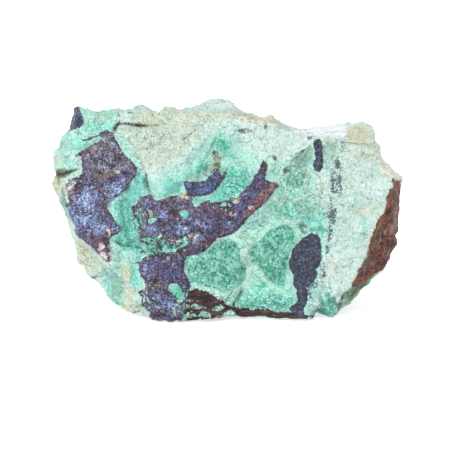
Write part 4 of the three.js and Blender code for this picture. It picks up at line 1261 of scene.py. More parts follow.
# Lumps that unsettle the paint.
THINNING_SWAY = Lumps(4, 2, 1.5)
PATCHES = Lumps(12, 3, 1.5, 500)
WARPS = tuple((Lumps(2.4, 2, 0.5, shift), Lumps(1, 1, 0.4, -shift)) for shift in (20, 30))
MOTTLES = (Lumps(2.4, 2, 0.5, 40), Lumps(0.95, 2, 0.7, 50))
DRIFTS = (Lumps(8, 2, shift=400), Lumps(8, 2, shift=-400))
PUSHES = tuple(Lumps(6, 2, 2.5, shift) for shift in (600, 700, 800))
BORDER_SWAY = Lumps(9, 3, shift=300)


@dataclass(frozen=True)
class Paint:
    """Lays the pigments and markings over the stone: as drawn in front, and as noise on the hidden sides.

    Attributes:
        seen_to: depth, from -1 in front to 1 behind, up to which the drawing holds.
        hidden_from: depth from which only the noise holds.
        wavering: how far noise shifts both.
        drift: how far noise shifts the drawing on the sides, so that nothing runs straight back.
        drifting: depths between which that begins and is complete.
        thinning: how much shallower inky patches and cracks get there, in millimetres.
        thinned: depths between which that begins and is complete.
        bare_crest: how much shallower the hidden patches get up at the crest, in millimetres.
        crest: heights b between which that begins and is complete.
        patch_edge: how soft the edges of the hidden pigments are, in units of their noise.
        patch_mottle: how strongly the mottle breaks up those edges.
        patch_share: how much of a hidden pigment covers what lies under it.
    """

    seen_to: float = 0.2
    hidden_from: float = 0.5
    wavering: float = 0.25
    drift: float = 3.0
    drifting: tuple[float, float] = (-0.6, 0.4)
    thinning: float = 1.6
    thinned: tuple[float, float] = (-0.3, 0.25)
    bare_crest: float = 3.0
    crest: tuple[float, float] = (43, 47)
    patch_edge: float = 0.35
    patch_mottle: float = 0.25
    patch_share: float = 0.85

    def markings(self, drawn: Array, depth: Array) -> dict[str, Array]:
        """Works out every marking's field.

        Args:
            drawn: places on the surface (a, b, c).
            depth: -1 on the broad face, 1 on the back, and between them on the sides.

        Returns:
            How deep each place lies inside each marking, in millimetres, by the marking's name.
        """
        flat = self.drifted(drawn, depth)
        hidden = self.hidden(drawn, depth)
        bent = self.bent(drawn)
        bare = self.bare_crest * smoothstep(drawn[:, 1], *self.crest)
        thinner = self.thinning * smoothstep(depth, *self.thinned) * (1 + THINNING_SWAY.at(drawn))
        fields = {}
        for seed, (name, marking) in enumerate(MARKINGS.items(), start=1):
            front = marking.depth(flat)
            if marking.thins:
                front -= thinner
            behind = marking.behind(bent, seed, bare)
            fields[name] = np.clip(front + hidden * (behind - front), -DEEPEST, DEEPEST)
        return fields

    def tints(self, drawn: Array, depth: Array) -> dict[str, Array]:
        """Works out the soft fields.

        Args:
            drawn, depth: as for the markings.

        Returns:
            How gritty, peppered, loose, streaky and speckled each place is, by name.
        """
        flat = self.drifted(drawn, depth)
        hidden = self.hidden(drawn, depth)
        patches = np.clip(1 + PATCHES.at(self.bent(drawn)), 0, 2)
        return {
            name: (1 - hidden) * spots_field(flat, tint.spots) + hidden * tint.behind * patches
            for name, tint in TINTS.items()
        }

    def colours(self, drawn: Array, depth: Array) -> dict[str, Array]:
        """Works out the painted colours of the rock and of the crusts.

        Args:
            drawn, depth: as for the markings.

        Returns:
            The colour of each place as light, by the palette's name.
        """
        warp = np.stack([broad.at(drawn) + fine.at(drawn) for broad, fine in WARPS])
        flat = self.drifted(drawn, depth) + warp.T
        broad, fine = MOTTLES
        mottle = broad.at(drawn) + fine.at(drawn)
        hidden = self.hidden(drawn, depth)[:, None]
        bent = self.bent(drawn)
        colours = {}
        for name, palette in PALETTES.items():
            front = np.tile(palette.ground.value, (len(drawn), 1))
            behind = front.copy()
            for layer in palette.layers:
                front += layer.cover(flat, mottle)[:, None] * (layer.pigment.value - front)
            for seed, (pigment, size, level) in enumerate(palette.patches, start=FIRST_PATCH):
                strength = lumps(bent + SEED_SHIFT * seed, size, PATCH_OCTAVES) + self.patch_mottle * mottle
                cover = smoothstep(strength, level, level + self.patch_edge)
                behind += self.patch_share * cover[:, None] * (pigment.value - behind)
            colours[name] = front + hidden * (behind - front)
        return colours

    def drifted(self, drawn: Array, depth: Array) -> Array:
        """Where the drawing (a, b) is read for each place: there in front, and near it on the sides."""
        shift = np.stack([drift.at(drawn) for drift in DRIFTS], axis=1)
        return drawn[:, :2] + self.drift * smoothstep(depth, *self.drifting)[:, None] * shift

    @staticmethod
    def bent(drawn: Array) -> Array:
        """The places turned askew and pushed about by noise, so that no patch shows straight cells."""
        return drawn @ ASKEW + np.stack([push.at(drawn) for push in PUSHES], axis=1)

    def hidden(self, drawn: Array, depth: Array) -> Array:
        """0 where the drawing holds and 1 where the noise does, along a wavering border."""
        shift = self.wavering * np.clip(BORDER_SWAY.at(drawn), -0.8, 1)
        return smoothstep(depth - shift, self.seen_to, self.hidden_from)


# ---------------------------------------------------------------- fine relief

# Two areas of the broad face (a, b): the cream wedge stands proud, and the green one is a hollow.
CREAM_WEDGE = (
    (-27, 47.5), (-7, 47.5), (-3.25, 44.5), (-5.75, 39.5), (-9.5, 35), (-16.25, 30.25), (-19, 29.5),
    (-19.5, 32), (-19.75, 34.5), (-20.75, 36.5), (-21.5, 39.5), (-22.75, 40), (-24.5, 42), (-26, 44.5),
    (-27.5, 46.5),
)
GREEN_WEDGE = (
    (21, 44), (20, 42.25), (18.5, 41.25), (16.75, 39.75), (15.75, 39.5), (14, 37), (14, 33), (19, 32),
    (21, 36), (21.5, 40),
)

# Where each step of the fine relief begins and where it is complete, in millimetres inside its border.
CRUST_BORDER = (-0.15, 0.45)
INK_BORDER = (-0.1, 0.4)
NODULE_BORDER = (0, 0.8)
CREAM_BORDER = (-0.2, 0.5)
GREEN_BORDER = (-0.3, 1.2)
VEIN_BORDER = (-0.8, 0.4)
CRACK_BORDER = (-0.3, 0.3)
LEDGE_BORDER = (-0.2, 0.25)
LEDGE_TAPER = 2  # a ledge grows to its full height over this much from each end

# Where each part of the relief begins and is complete: depths from -1 in front to 1 behind, and heights b.
FRONT_DEPTHS = (0.4, 0)
SIDE_DEPTHS = (-1, -0.75)
CREST_DEPTHS = (1.2, -0.4)
CREST_HEIGHTS = (49, 51.5)

# Lumps and small scooped breaks (tilt, curve) of the fine relief.
FRAY = Lumps(1.6, 2, 0.35)
GRIT = Lumps(1.0, 1, shift=70)
CRUST_SWELL = Lumps(3.2, 2, 0.8)
EVERYWHERE = Lumps(1.3, 2, 0.14)
CREST_GRAINS = Lumps(2.8, 2, shift=60)
SIDE_SHIFT = 90
LEDGE_BOWLS = (0.14, 0.16)
CHIP_BOWLS = (0.16, 0.16)
CHIP_SHIFT = 40


@dataclass(frozen=True)
class Ledge:
    """A small step along a line: the stone is raised on the line's left and sinks back over a reach.

    Attributes:
        line: the line's corners (a, b).
        rise: the step's height in millimetres.
        reach: the distance over which it fades.
    """

    line: Points
    rise: float
    reach: float = 3.0

    def height(self, flat: Array) -> Array:
        """rise * e^(-distance / reach) left of the line and nothing right of it, fading towards its ends.

        Args:
            flat: the places (a, b).

        Returns:
            The height at each place in millimetres.
        """
        corners = np.asarray(self.line, float)
        nearest = np.full(len(flat), np.inf)
        left = np.zeros(len(flat))
        along = np.zeros(len(flat))
        passed = 0.0
        for start, end in zip(corners, corners[1:]):
            run = end - start
            length = np.hypot(*run)
            share = np.clip((flat - start) @ run / length**2, 0, 1)
            offset = flat - start - share[:, None] * run
            gap = np.hypot(offset[:, 0], offset[:, 1])
            side = (run[0] * offset[:, 1] - run[1] * offset[:, 0]) / length
            nearer = gap < nearest
            nearest = np.where(nearer, gap, nearest)
            left = np.where(nearer, side, left)
            along = np.where(nearer, passed + share * length, along)
            passed += length
        taper = smoothstep(np.minimum(along, passed - along), 0, LEDGE_TAPER)
        return self.rise * taper * smoothstep(left, *LEDGE_BORDER) * np.exp(-nearest / self.reach)


LEDGES = (
    Ledge(((-27, 13.6), (-26.1, 9.6), (-25.7, 6), (-25.1, 3), (-23.6, 0.6)), 1.0),
    Ledge(((27, 0.4), (27.9, 4.4), (29.6, 6.6), (32.4, 8.3), (37, 10.6)), 0.9),
    Ledge(((30, 2.6), (30.9, 4.8), (32.6, 6.8), (36, 9)), 0.7, 2),
    Ledge(((-27.6, 53), (-27.7, 50), (-27.8, 46.8)), 0.5, 4),
    Ledge(((-45, 36.4), (-41, 37), (-37, 37.4)), 0.6),
    Ledge(((-36.7, 41), (-36.5, 35.6)), 0.4),
    Ledge(((15.6, 39), (18.6, 41.4), (20.8, 43.2), (22.4, 45.6)), 0.4, 4),
    Ledge(((19, 38), (19.3, 34.6), (19.6, 30.4)), 0.35),
    Ledge(((24.4, 42), (24.4, 32), (24.2, 24), (23.6, 16)), 0.3, 4),
    Ledge(((-18, 34.8), (-9, 40), (-3.4, 46.6)), 0.4, 4),
    Ledge(((-31, 12), (-28.8, 16), (-27.4, 20.4)), 0.4),
    Ledge(((-36, 8), (-33, 11), (-30, 12.4), (-26, 12.8)), 0.5),
)


@dataclass(frozen=True)
class FineRelief:
    """The low relief that the faceted solid leaves out, in millimetres of height.

    Attributes:
        crust_step: how far the crusts stand proud of the rock.
        crust_grit: height of the fine grit on them.
        ink_step: how far the inky patches stand proud.
        wedge_step: height of the cream wedge's edge.
        hollow_step: depth of the green hollow beside the right shoulder.
        vein_rise: height of the pale veins.
        crack_depth: depth of the open cracks.
        ledge_size, chip_size: widths of the small breaks, large and fine.
        quieter: share by which those breaks are weaker on crusts, inky patches and nodules.
        gritty_rise: height of the grit on gritty rock.
        crest_rise: height of the crest's grains.
        side_size, side_rise: width and height of the knobs on the sides and the back.
        set_back: how far all of it is set back, so that its mean is the block's surface.
    """

    crust_step: float = 0.5
    crust_grit: float = 0.16
    ink_step: float = 0.15
    wedge_step: float = 0.6
    hollow_step: float = 0.4
    vein_rise: float = 0.2
    crack_depth: float = 0.6
    ledge_size: float = 6.5
    chip_size: float = 2.4
    quieter: float = 0.5
    gritty_rise: float = 0.1
    crest_rise: float = 0.5
    side_size: float = 2.6
    side_rise: float = 0.4
    set_back: float = 0.25

    def heights(self, drawn: Array, depth: Array, fields: dict[str, Array]) -> Array:
        """How far the fine surface stands out from the block.

        Each marking adds its step, a smooth rise across its outline frayed by noise. Small scooped breaks of
        two sizes lie under them, weaker on crusts and nodules, and the crest carries rounded grains.

        Args:
            drawn: places on the surface (a, b, c).
            depth: -1 on the broad face, 1 on the back, and between them on the sides.
            fields: the markings' and the soft fields, by name.

        Returns:
            The height at each place in millimetres.
        """
        flat = drawn[:, :2]
        fray = FRAY.at(drawn)
        grit = GRIT.at(drawn)
        crust = smoothstep(fields["crust"] + fray, *CRUST_BORDER)
        ink = smoothstep(fields["ink"] + fray, *INK_BORDER)
        nodule = smoothstep(fields["nodule"], *NODULE_BORDER)
        front = smoothstep(depth, *FRONT_DEPTHS)
        rise = self.crust_step * crust * (1 + CRUST_SWELL.at(drawn)) + self.crust_grit * crust * grit
        rise -= self.set_back
        rise += self.ink_step * ink
        rise += self.wedge_step * front * smoothstep(depth_inside(flat, CREAM_WEDGE) + fray, *CREAM_BORDER)
        rise -= self.hollow_step * front * smoothstep(depth_inside(flat, GREEN_WEDGE) + fray, *GREEN_BORDER)
        rise += self.vein_rise * smoothstep(fields["vein"], *VEIN_BORDER)
        frayed = flat + np.column_stack([fray, -fray])
        rise += front * np.sum([ledge.height(frayed) for ledge in LEDGES], axis=0)
        knobs = lumps(drawn + SIDE_SHIFT, self.side_size, 3)
        rise += self.side_rise * smoothstep(depth, *SIDE_DEPTHS) * knobs
        rise -= self.crack_depth * smoothstep(fields["crack"], *CRACK_BORDER)
        plain = 1 - self.quieter * np.clip(crust + ink + nodule, 0, 1)
        rise += plain * breaks(drawn, self.ledge_size, *LEDGE_BOWLS)
        rise += plain * breaks(drawn + CHIP_SHIFT, self.chip_size, *CHIP_BOWLS)
        rise += EVERYWHERE.at(drawn) + self.gritty_rise * fields["gritty"] * grit
        crest = smoothstep(drawn[:, 1], *CREST_HEIGHTS) * smoothstep(depth, *CREST_DEPTHS)
        grains = 1 - np.abs(CREST_GRAINS.at(drawn)) * 2
        rise += self.crest_rise * crest * grains
        return rise


# ---------------------------------------------------------------- materials

# A unit of a texture's seed slides it this far along X, Y and Z. Cells and nets take a share of that.
SLIDE = (7.3, 3.1, 1)
CELL_SLIDE = 0.03
NET_SLIDE = 0.02
WAVERS = 1.5  # how many times a net's lines waver along one cell

# The ragged edge of a marking: widths and heights of its coarse and fine noise, in millimetres.
COARSE_SIZE, COARSE_FRAY = 1.8, 2.2
FINE_SIZE, FINE_FRAY = 0.55, 1.6


class Graph:
    """Adds nodes to one tree, so that a finish reads as a list of steps."""

    def __init__(self, tree: bpy.types.NodeTree) -> None:
        """Starts on a tree with no nodes."""
        self.tree = tree
        tree.nodes.clear()

    def node(self, kind: str, inputs: dict | None = None, **settings: object) -> bpy.types.Node:
        """Adds a node.

        Args:
            kind: the node's type, without "ShaderNode".
            inputs: values or sockets for its inputs, by name or number.
            settings: the node's own properties.

        Returns:
            The node.
        """
        prefix = "" if kind.startswith("NodeGroup") else "ShaderNode"
        made = self.tree.nodes.new(prefix + kind)
        for name, value in settings.items():
            setattr(made, name, value)
        for name, value in (inputs or {}).items():
            self.feed(made.inputs[name], value)
        return made

    def feed(self, socket: Socket, value: object) -> None:
        """Joins a number or a colour to an input, or sets the input's value.

        Args:
            socket: the input.
            value: what goes into it.
        """
        value = value.socket if isinstance(value, Number) else value
        if isinstance(value, bpy.types.NodeSocket):
            self.tree.links.new(value, socket)
        elif isinstance(value, tuple) and len(value) == 3 and socket.type == "RGBA":
            socket.default_value = (*value, 1.0)
        else:
            socket.default_value = value

    def field(self, name: str) -> "Number":
        """A field of the piece, by name."""
        return Number(self, self.node("Attribute", attribute_name=name).outputs["Fac"])

    def painted(self, name: str) -> Socket:
        """A colour laid on the piece, by name."""
        return self.node("Attribute", attribute_name=name).outputs["Color"]

    def place(self, seed: float = 0.0, scale: Triple = (1, 1, 1), turn: float = 0.0) -> Socket:
        """Places on the stone in metres, for a texture.

        Args:
            seed: slides them, so that two textures differ.
            scale: stretches them along X, Y and Z.
            turn: turns them round Y first, in degrees.

        Returns:
            The output that gives the places.
        """
        place = self.node("TexCoord").outputs["Object"]
        if turn:
            rotation = (0, math.radians(turn), 0)
            place = self.node("Mapping", {"Vector": place, "Rotation": rotation}).outputs[0]
        slide = tuple(step * seed for step in SLIDE)
        return self.node("Mapping", {"Vector": place, "Scale": scale, "Location": slide}).outputs[0]

    def cells(self, size: float, seed: float) -> tuple["Number", "Number", "Number"]:
        """Random numbers for each grain of the stone.

        Args:
            size: width of a grain in millimetres.
            seed: slides the grains to another place.

        Returns:
            Three numbers from 0 to 1.
        """
        grains = self.node("TexVoronoi", {"Vector": self.place(CELL_SLIDE * seed), "Scale": 1 / (MM * size)})
        split = self.node("SeparateColor", {"Color": grains.outputs["Color"]})
        return tuple(Number(self, socket) for socket in split.outputs)

    def edges(self, size: float, seed: float, warp: float, low: float, high: float) -> "Number":
        """A net of lines between random cells.

        Args:
            size: width of a cell in millimetres.
            seed: slides the net to another place.
            warp: how much the lines waver, in millimetres.
            low, high: distances from a cell's edge, in cells, from which the line fades and where it ends.

        Returns:
            1 on the lines and 0 in the cells.
        """
        place = self.place(NET_SLIDE * seed)
        waver = self.node("TexNoise", {"Vector": place, "Scale": WAVERS / (MM * size), "Detail": 2.0})
        middle = {0: waver.outputs["Color"], 1: (0.5, 0.5, 0.5)}
        centred = self.node("VectorMath", middle, operation="SUBTRACT")
        scaled = self.node("VectorMath", {0: centred.outputs[0], "Scale": MM * warp}, operation="SCALE")
        bent = self.node("VectorMath", {0: place, 1: scaled.outputs[0]}, operation="ADD").outputs[0]
        inputs = {"Vector": bent, "Scale": 1 / (MM * size)}
        cells = self.node("TexVoronoi", inputs, feature="DISTANCE_TO_EDGE")
        return Number(self, cells.outputs["Distance"]).step(high, low)

    def noise(
        self, size: float, seed: float, detail: float = 3.0, rough: float = 0.55,
        stretch: Triple = (1, 1, 1), turn: float = 0.0, warp: float = 0.0,
    ) -> "Number":
        """Noise on the stone.

        Args:
            size: width of its cells in millimetres.
            seed: slides it to another place.
            detail: octaves added.
            rough: how strong the fine octaves are.
            stretch: how many times wider it is along X, Y and Z.
            turn: turns it round Y, in degrees.
            warp: how much it is distorted.

        Returns:
            The noise, from 0 to 1.
        """
        place = self.place(seed, tuple(1 / (MM * size * width) for width in stretch), turn)
        inputs = {"Vector": place, "Scale": 1.0, "Detail": detail, "Roughness": rough, "Distortion": warp}
        return Number(self, self.node("TexNoise", inputs).outputs["Fac"])


@dataclass(frozen=True)
class Number:
    """A number in a node tree. Sums and comparisons on it add the nodes that work them out.

    Attributes:
        graph: the tree that it is in.
        socket: the output that gives it.
    """

    graph: Graph
    socket: Socket

    def with_other(self, operation: str, first: object, second: object) -> "Number":
        """One sum of two numbers, such as ADD or MULTIPLY."""
        made = self.graph.node("Math", {0: first, 1: second}, operation=operation)
        return Number(self.graph, made.outputs[0])

    def __add__(self, other: object) -> "Number":
        """The sum."""
        return self.with_other("ADD", self, other)

    def __sub__(self, other: object) -> "Number":
        """This less the other."""
        return self.with_other("SUBTRACT", self, other)

    def __rsub__(self, other: object) -> "Number":
        """The other less this."""
        return self.with_other("SUBTRACT", other, self)

    def __mul__(self, other: object) -> "Number":
        """The product."""
        return self.with_other("MULTIPLY", self, other)

    def __gt__(self, other: object) -> "Number":
        """1 where this is the larger, and 0 elsewhere."""
        return self.with_other("GREATER_THAN", self, other)

    def __lt__(self, other: object) -> "Number":
        """1 where this is the smaller, and 0 elsewhere."""
        return self.with_other("LESS_THAN", self, other)

    def highest(self, other: object) -> "Number":
        """The larger of the two."""
        return self.with_other("MAXIMUM", self, other)

    def step(self, low: object, high: object, start: float = 0.0, end: float = 1.0) -> "Number":
        """A smooth step of the number.

        Args:
            low, high: where the step begins and ends.
            start, end: what it gives there.

        Returns:
            The stepped number.
        """
        inputs = {"Value": self, "From Min": low, "From Max": high, "To Min": start, "To Max": end}
        made = self.graph.node("MapRange", inputs, interpolation_type="SMOOTHSTEP")
        return Number(self.graph, made.outputs[0])


@dataclass
class Coat:
    """A colour that is built up on the stone, one layer at a time.

    Attributes:
        graph: the tree that it is in.
        colour: the output that gives the colour so far, or a plain colour to start from.
    """

    graph: Graph
    colour: Socket | Colour

    def lay(self, tint: Socket | Colour, share: object) -> None:
        """Lays a tint over the colour.

        Args:
            tint: the colour that is laid.
            share: how much of it covers what lies under it.
        """
        made = self.graph.node("Mix", data_type="RGBA")
        for number, value in ((0, share), (6, self.colour), (7, tint)):
            self.graph.feed(made.inputs[number], value)
        self.colour = made.outputs[2]

    def shade(self, factor: Number) -> None:
        """Makes the colour lighter or darker by a factor."""
        self.colour = self.graph.node("HueSaturation", {"Color": self.colour, "Value": factor}).outputs[0]

    def lightness(self) -> Number:
        """How light the colour is, from 0 to 1."""
        return Number(self.graph, self.graph.node("RGBToBW", {"Color": self.colour}).outputs[0])


def frayed_edge() -> bpy.types.NodeTree:
    """Builds the group that cuts a marking out of its depth field, with a ragged edge.

    Noise of two sizes is added to the depth in millimetres, and the sum is stepped smoothly at zero.

    Returns:
        The group's tree, from Depth, Fray and Soft to Mask.
    """
    tree = bpy.data.node_groups.new("frayed edge", "ShaderNodeTree")
    for label in ("Depth", "Fray", "Soft"):
        tree.interface.new_socket(label, in_out="INPUT", socket_type="NodeSocketFloat")
    tree.interface.new_socket("Mask", in_out="OUTPUT", socket_type="NodeSocketFloat")
    graph = Graph(tree)
    depth, fray, soft = (Number(graph, socket) for socket in graph.node("NodeGroupInput").outputs[:3])
    coarse = (graph.noise(COARSE_SIZE, 1) - 0.5) * COARSE_FRAY
    ragged = coarse + (graph.noise(FINE_SIZE, 2, detail=1) - 0.5) * FINE_FRAY
    mask = (depth + ragged * fray).step(soft * -1.0, soft)
    graph.node("NodeGroupOutput", {0: mask})
    return tree


@dataclass(frozen=True)
class StoneFinish:
    """The finish of the stone: grain of the rock, crust, ink and bark, laid over the painted colours.

    Attributes:
        dark_green_and_shade, pale_green_and_glint: dark and pale green grit, partly painted shade and
        glints.
        pepper: the dark specks.
        net, pit: dark lines and pits of the crusts.
        grit_tan: tan grains in the crusts.
        ink_dark, ink, ink_pale: the inky patches.
        bark_dark, bark, bark_red, ember, bark_pale: the rusty side.
        seam: the brown seams at the foot.
        emerald, sea: the nodules, in their dark and pale patches.
        speck: the inky specks down the right of the broad face.
        crack: what fills the open cracks.
        vein: the pale veins.
        plum, lilac, steel: the odd grains of the crusts.
        albedo: share of every colour that is kept, for a bright studio.
        bump: height of the grain's bump in millimetres.
        gloss: how much light the stone's skin throws back.
        rock_roughness, dark_roughness: roughness of the rock, and of crusts and inky patches.
        brightness: what every colour is multiplied by before the albedo.
        contrast: how strongly the finest grain shows on plain rock.
        dark_contrast: how much more it shows on crusts, inky patches and gritty rock.
    """

    dark_green_and_shade: Colour = srgb(42, 124, 104)
    pale_green_and_glint: Colour = srgb(214, 244, 236)
    pepper: Colour = srgb(92, 116, 100)
    net: Colour = srgb(42, 36, 48)
    pit: Colour = srgb(48, 38, 50)
    grit_tan: Colour = srgb(206, 188, 160)
    ink_dark: Colour = srgb(38, 42, 58)
    ink: Colour = srgb(66, 78, 98)
    ink_pale: Colour = srgb(132, 150, 164)
    bark_dark: Colour = srgb(48, 36, 38)
    bark: Colour = srgb(102, 60, 48)
    bark_red: Colour = srgb(150, 92, 70)
    ember: Colour = srgb(182, 112, 68)
    bark_pale: Colour = srgb(186, 168, 158)
    seam: Colour = srgb(88, 64, 66)
    emerald: Colour = srgb(48, 158, 124)
    sea: Colour = srgb(140, 216, 200)
    speck: Colour = srgb(52, 68, 86)
    crack: Colour = srgb(58, 54, 44)
    vein: Colour = srgb(200, 240, 222)
    plum: Colour = srgb(104, 76, 90)
    lilac: Colour = srgb(182, 180, 206)
    steel: Colour = srgb(92, 118, 176)
    albedo: float = 0.72
    bump: float = 0.55
    gloss: float = 0.3
    rock_roughness: float = 0.85
    dark_roughness: float = 0.6
    brightness: float = 1.01
    contrast: float = 0.7
    dark_contrast: float = 0.5

    def material(self) -> bpy.types.Material:
        """Builds the stone's material from the coats, one over the other.

        Returns:
            The material: a Principled shader fed by the colour, roughness and bump graphs.
        """
        material = bpy.data.materials.new("transvaal_jade")
        material.use_nodes = True
        graph = Graph(material.node_tree)
        edge = frayed_edge()

        def cut(name: str, fray: object, soft: float, wider: float = 0.0) -> Number:
            """A marking's mask, from its depth field made wider by some millimetres."""
            inputs = {"Depth": graph.field(name) + wider, "Fray": fray, "Soft": soft}
            return Number(graph, graph.node("Group", inputs, node_tree=edge).outputs[0])

        loose = graph.field("loose")
        crust = cut("crust", loose * 0.9 + 0.45, 0.12)
        ink = cut("ink", 0.45, 0.1, wider=0.25)
        gaps = (graph.noise(1.0, 37, rough=0.7) + loose * 0.16).step(0.66, 0.7)
        coat = Coat(graph, self.rock_colour(graph))
        halo = (graph.field("crust") + graph.noise(2.0, 35)).step(-0.5, 0.5, end=0.35)
        coat.lay(self.vein, halo * graph.field("gritty").step(0.6, 0.1))
        coat.lay(self.seam_colour(graph), cut("seam", 0.7, 0.15))
        coat.lay(self.crust_colour(graph), crust * (1.0 - gaps))
        coat.lay(self.ink_colour(graph), ink)
        coat.lay(self.bark_colour(graph), cut("bark", 0.5, 0.12))
        coat.lay(self.crack, cut("crack", 0.35, 0.15) * graph.noise(1.2, 34).step(0.35, 0.6, 0.35, 0.9))
        dark = crust.highest(ink)
        amount = dark.highest(graph.field("gritty")) * (self.dark_contrast * self.albedo)
        amount += self.contrast * self.albedo
        grain = graph.noise(0.3, 33, detail=2, rough=0.7) - 0.5
        coat.shade(grain * amount + self.brightness * self.albedo)
        height = self.grain(graph, dark)
        bump = graph.node("Bump", {"Strength": 1.0, "Distance": self.bump * MM, "Height": height})
        shader = graph.node("BsdfPrincipled", {
            "Base Color": coat.colour, "Specular IOR Level": self.gloss, "Normal": bump.outputs[0],
            "Roughness": dark.step(0.0, 1.0, self.rock_roughness, self.dark_roughness),
        })
        graph.node("OutputMaterial", {"Surface": shader.outputs[0]})
        return material

    def rock_colour(self, graph: Graph) -> Socket:
        """Builds the rock's colour: pigments, veins, grit with painted shade and glints, nodules, pepper,
        hairlines, inky specks.

        Args:
            graph: the material's tree.

        Returns:
            The output that gives the colour.
        """
        gritty = graph.field("gritty")
        coat = Coat(graph, graph.painted("rock"))
        coat.shade(graph.noise(3.6, 6, detail=5, rough=0.6) * 0.3 + 0.86)
        coat.lay(self.vein, graph.field("vein").step(-0.35, 0.2, end=0.7))
        lively = coat.lightness().step(0.95, 0.84)
        bright, kind, _ = graph.cells(0.36, 4)
        coat.shade((bright - 0.5) * (gritty * 0.75 + lively * 0.24) + 1.0)
        few = gritty * 0.18 + lively * 0.04
        # Dark and pale grains at random: the grit's own tone, partly painted shade and painted glints.
        coat.lay(self.dark_green_and_shade, (kind < few) * 0.5)
        coat.lay(self.pale_green_and_glint, (kind > 0.95 - few) * 0.45)
        inside, rim = self.lay_nodules(coat, gritty)
        rough_part = gritty.highest(inside * 1.3) * (1.0 - rim) * 0.85 + 0.08
        # The lows and highs of one grit noise, laid dark and pale: partly painted shade between the grains
        # and painted glints on them.
        grit = graph.noise(0.62, 9, rough=0.75, warp=0.4)
        coat.lay(self.dark_green_and_shade, grit.step(0.5, 0.36, end=0.85) * rough_part)
        coat.lay(self.pale_green_and_glint, grit.step(0.56, 0.68, end=0.62) * rough_part)
        dots = graph.noise(0.5, 11, detail=2, rough=0.6) + graph.field("peppered") * 0.09
        coat.lay(self.pepper, dots.step(0.66, 0.74, end=0.6) * lively)
        here = graph.noise(5, 13, detail=2).step(0.48, 0.62, end=0.22)
        coat.lay(self.pepper, graph.edges(4.5, 3, 3.0, 0.004, 0.03) * here)
        clusters = graph.noise(1.4, 25, rough=0.7, stretch=(0.8, 1, 1.8)) * 0.7
        near = graph.field("speckled") * 0.68 + graph.cells(0.3, 12)[0] * 0.45 + clusters
        coat.lay(self.speck, near.step(0.95, 1.12, end=0.85))
        return coat.colour

    def lay_nodules(self, coat: Coat, gritty: Number) -> tuple[Number, Number]:
        """Lays the nodules: emerald and sea patches, streaks round them, a pale rim and a dark tracery.

        Args:
            coat: the rock's colour so far.
            gritty: how gritty the rock is.

        Returns:
            The masks of their inside and of their rim.
        """
        graph = coat.graph
        nodule = graph.field("nodule")
        patch = graph.noise(2.4, 26, detail=4, rough=0.68)
        inside = (patch * 3.0 + nodule - 1.5).step(-0.3, 0.6)
        patches = Coat(graph, self.emerald)
        patches.lay(self.sea, patch.step(0.42, 0.56))
        coat.lay(patches.colour, inside * 0.8)
        streaks = graph.noise(0.8, 36, detail=4, rough=0.7, stretch=(3.5, 1, 1), turn=-35)
        coat.lay(self.emerald, streaks.step(0.5, 0.36, end=0.7) * gritty)
        rim = nodule.step(-1.6, -0.6) * nodule.step(0.4, -0.3, end=0.85) * patch.step(0.42, 0.56, 0.45, 1.0)
        coat.lay(self.vein, rim)
        coat.lay(self.dark_green_and_shade, graph.edges(2.8, 9, 2.6, 0.0, 0.09) * patch.step(0.62, 0.42, end=0.4))
        return inside, rim

    def crust_colour(self, graph: Graph) -> Socket:
        """Builds the crust's colour: pigments, strong grain, dark lines, pits, tan grains and a dark rim.

        Args:
            graph: the material's tree.

        Returns:
            The output that gives the colour.
        """
        painted = Coat(graph, graph.painted("crusting"))
        coat = Coat(graph, painted.colour)
        islands = graph.noise(2.0, 15, detail=5, rough=0.68, stretch=(1.6, 1, 1), turn=-25)
        bright, kind, tone = graph.cells(0.34, 7)
        coat.lay(self.plum, islands.step(0.49, 0.4, end=0.5))
        coat.lay(self.plum, tone.step(0.6, 1.0, end=0.4))
        coat.lay(self.steel, tone.step(0.4, 0.0, end=0.25))
        coat.shade(islands * 1.2 + 0.47)
        coat.shade(graph.noise(0.6, 14, rough=0.75) * 1.5 + 0.3)
        coat.shade(bright * 1.6 + 0.26)
        coat.lay(self.lilac, (kind > 0.92) * 0.3)
        coat.lay(self.net, (kind < 0.13) * 0.7)
        coat.lay(self.net, graph.edges(2.2, 5, 2.4, 0.0, 0.08) * islands.step(0.62, 0.45, end=0.8))
        coat.lay(self.pit, graph.noise(0.5, 18, detail=2, rough=0.7).step(0.4, 0.3, end=0.8))
        near = graph.noise(0.45, 17, detail=2, rough=0.6) + graph.field("loose") * 0.05
        coat.lay(self.grit_tan, near.step(0.68, 0.76, end=0.7))
        streaks = graph.noise(0.6, 41, rough=0.7, stretch=(6, 2, 1), turn=3) - 0.5
        coat.shade(streaks * graph.field("streaky") * 2.6 + 1.0)
        coat.lay(painted.colour, painted.lightness().step(0.5, 0.62, end=0.75))
        rim = graph.noise(2.6, 19).step(0.44, 0.64, end=0.75)
        coat.lay(self.net, graph.field("crust").step(0.45, 0.0) * rim)
        return coat.colour

    def ink_colour(self, graph: Graph) -> Socket:
        """Builds the inky patches' colour: near black with blue and pale grains.

        Args:
            graph: the material's tree.

        Returns:
            The output that gives the colour.
        """
        grains = graph.noise(0.7, 20, detail=4, rough=0.75)
        bright, kind, _ = graph.cells(0.32, 21)
        coat = Coat(graph, self.ink_dark)
        coat.lay(self.ink, grains.step(0.36, 0.58))
        coat.lay(self.ink_pale, grains.step(0.56, 0.7, end=0.75))
        coat.shade(bright * 1.6 + 0.3)
        coat.lay(graph.painted("crusting"), 0.3)
        coat.lay(self.ink_pale, (kind > 0.93) * 0.45)
        return coat.colour

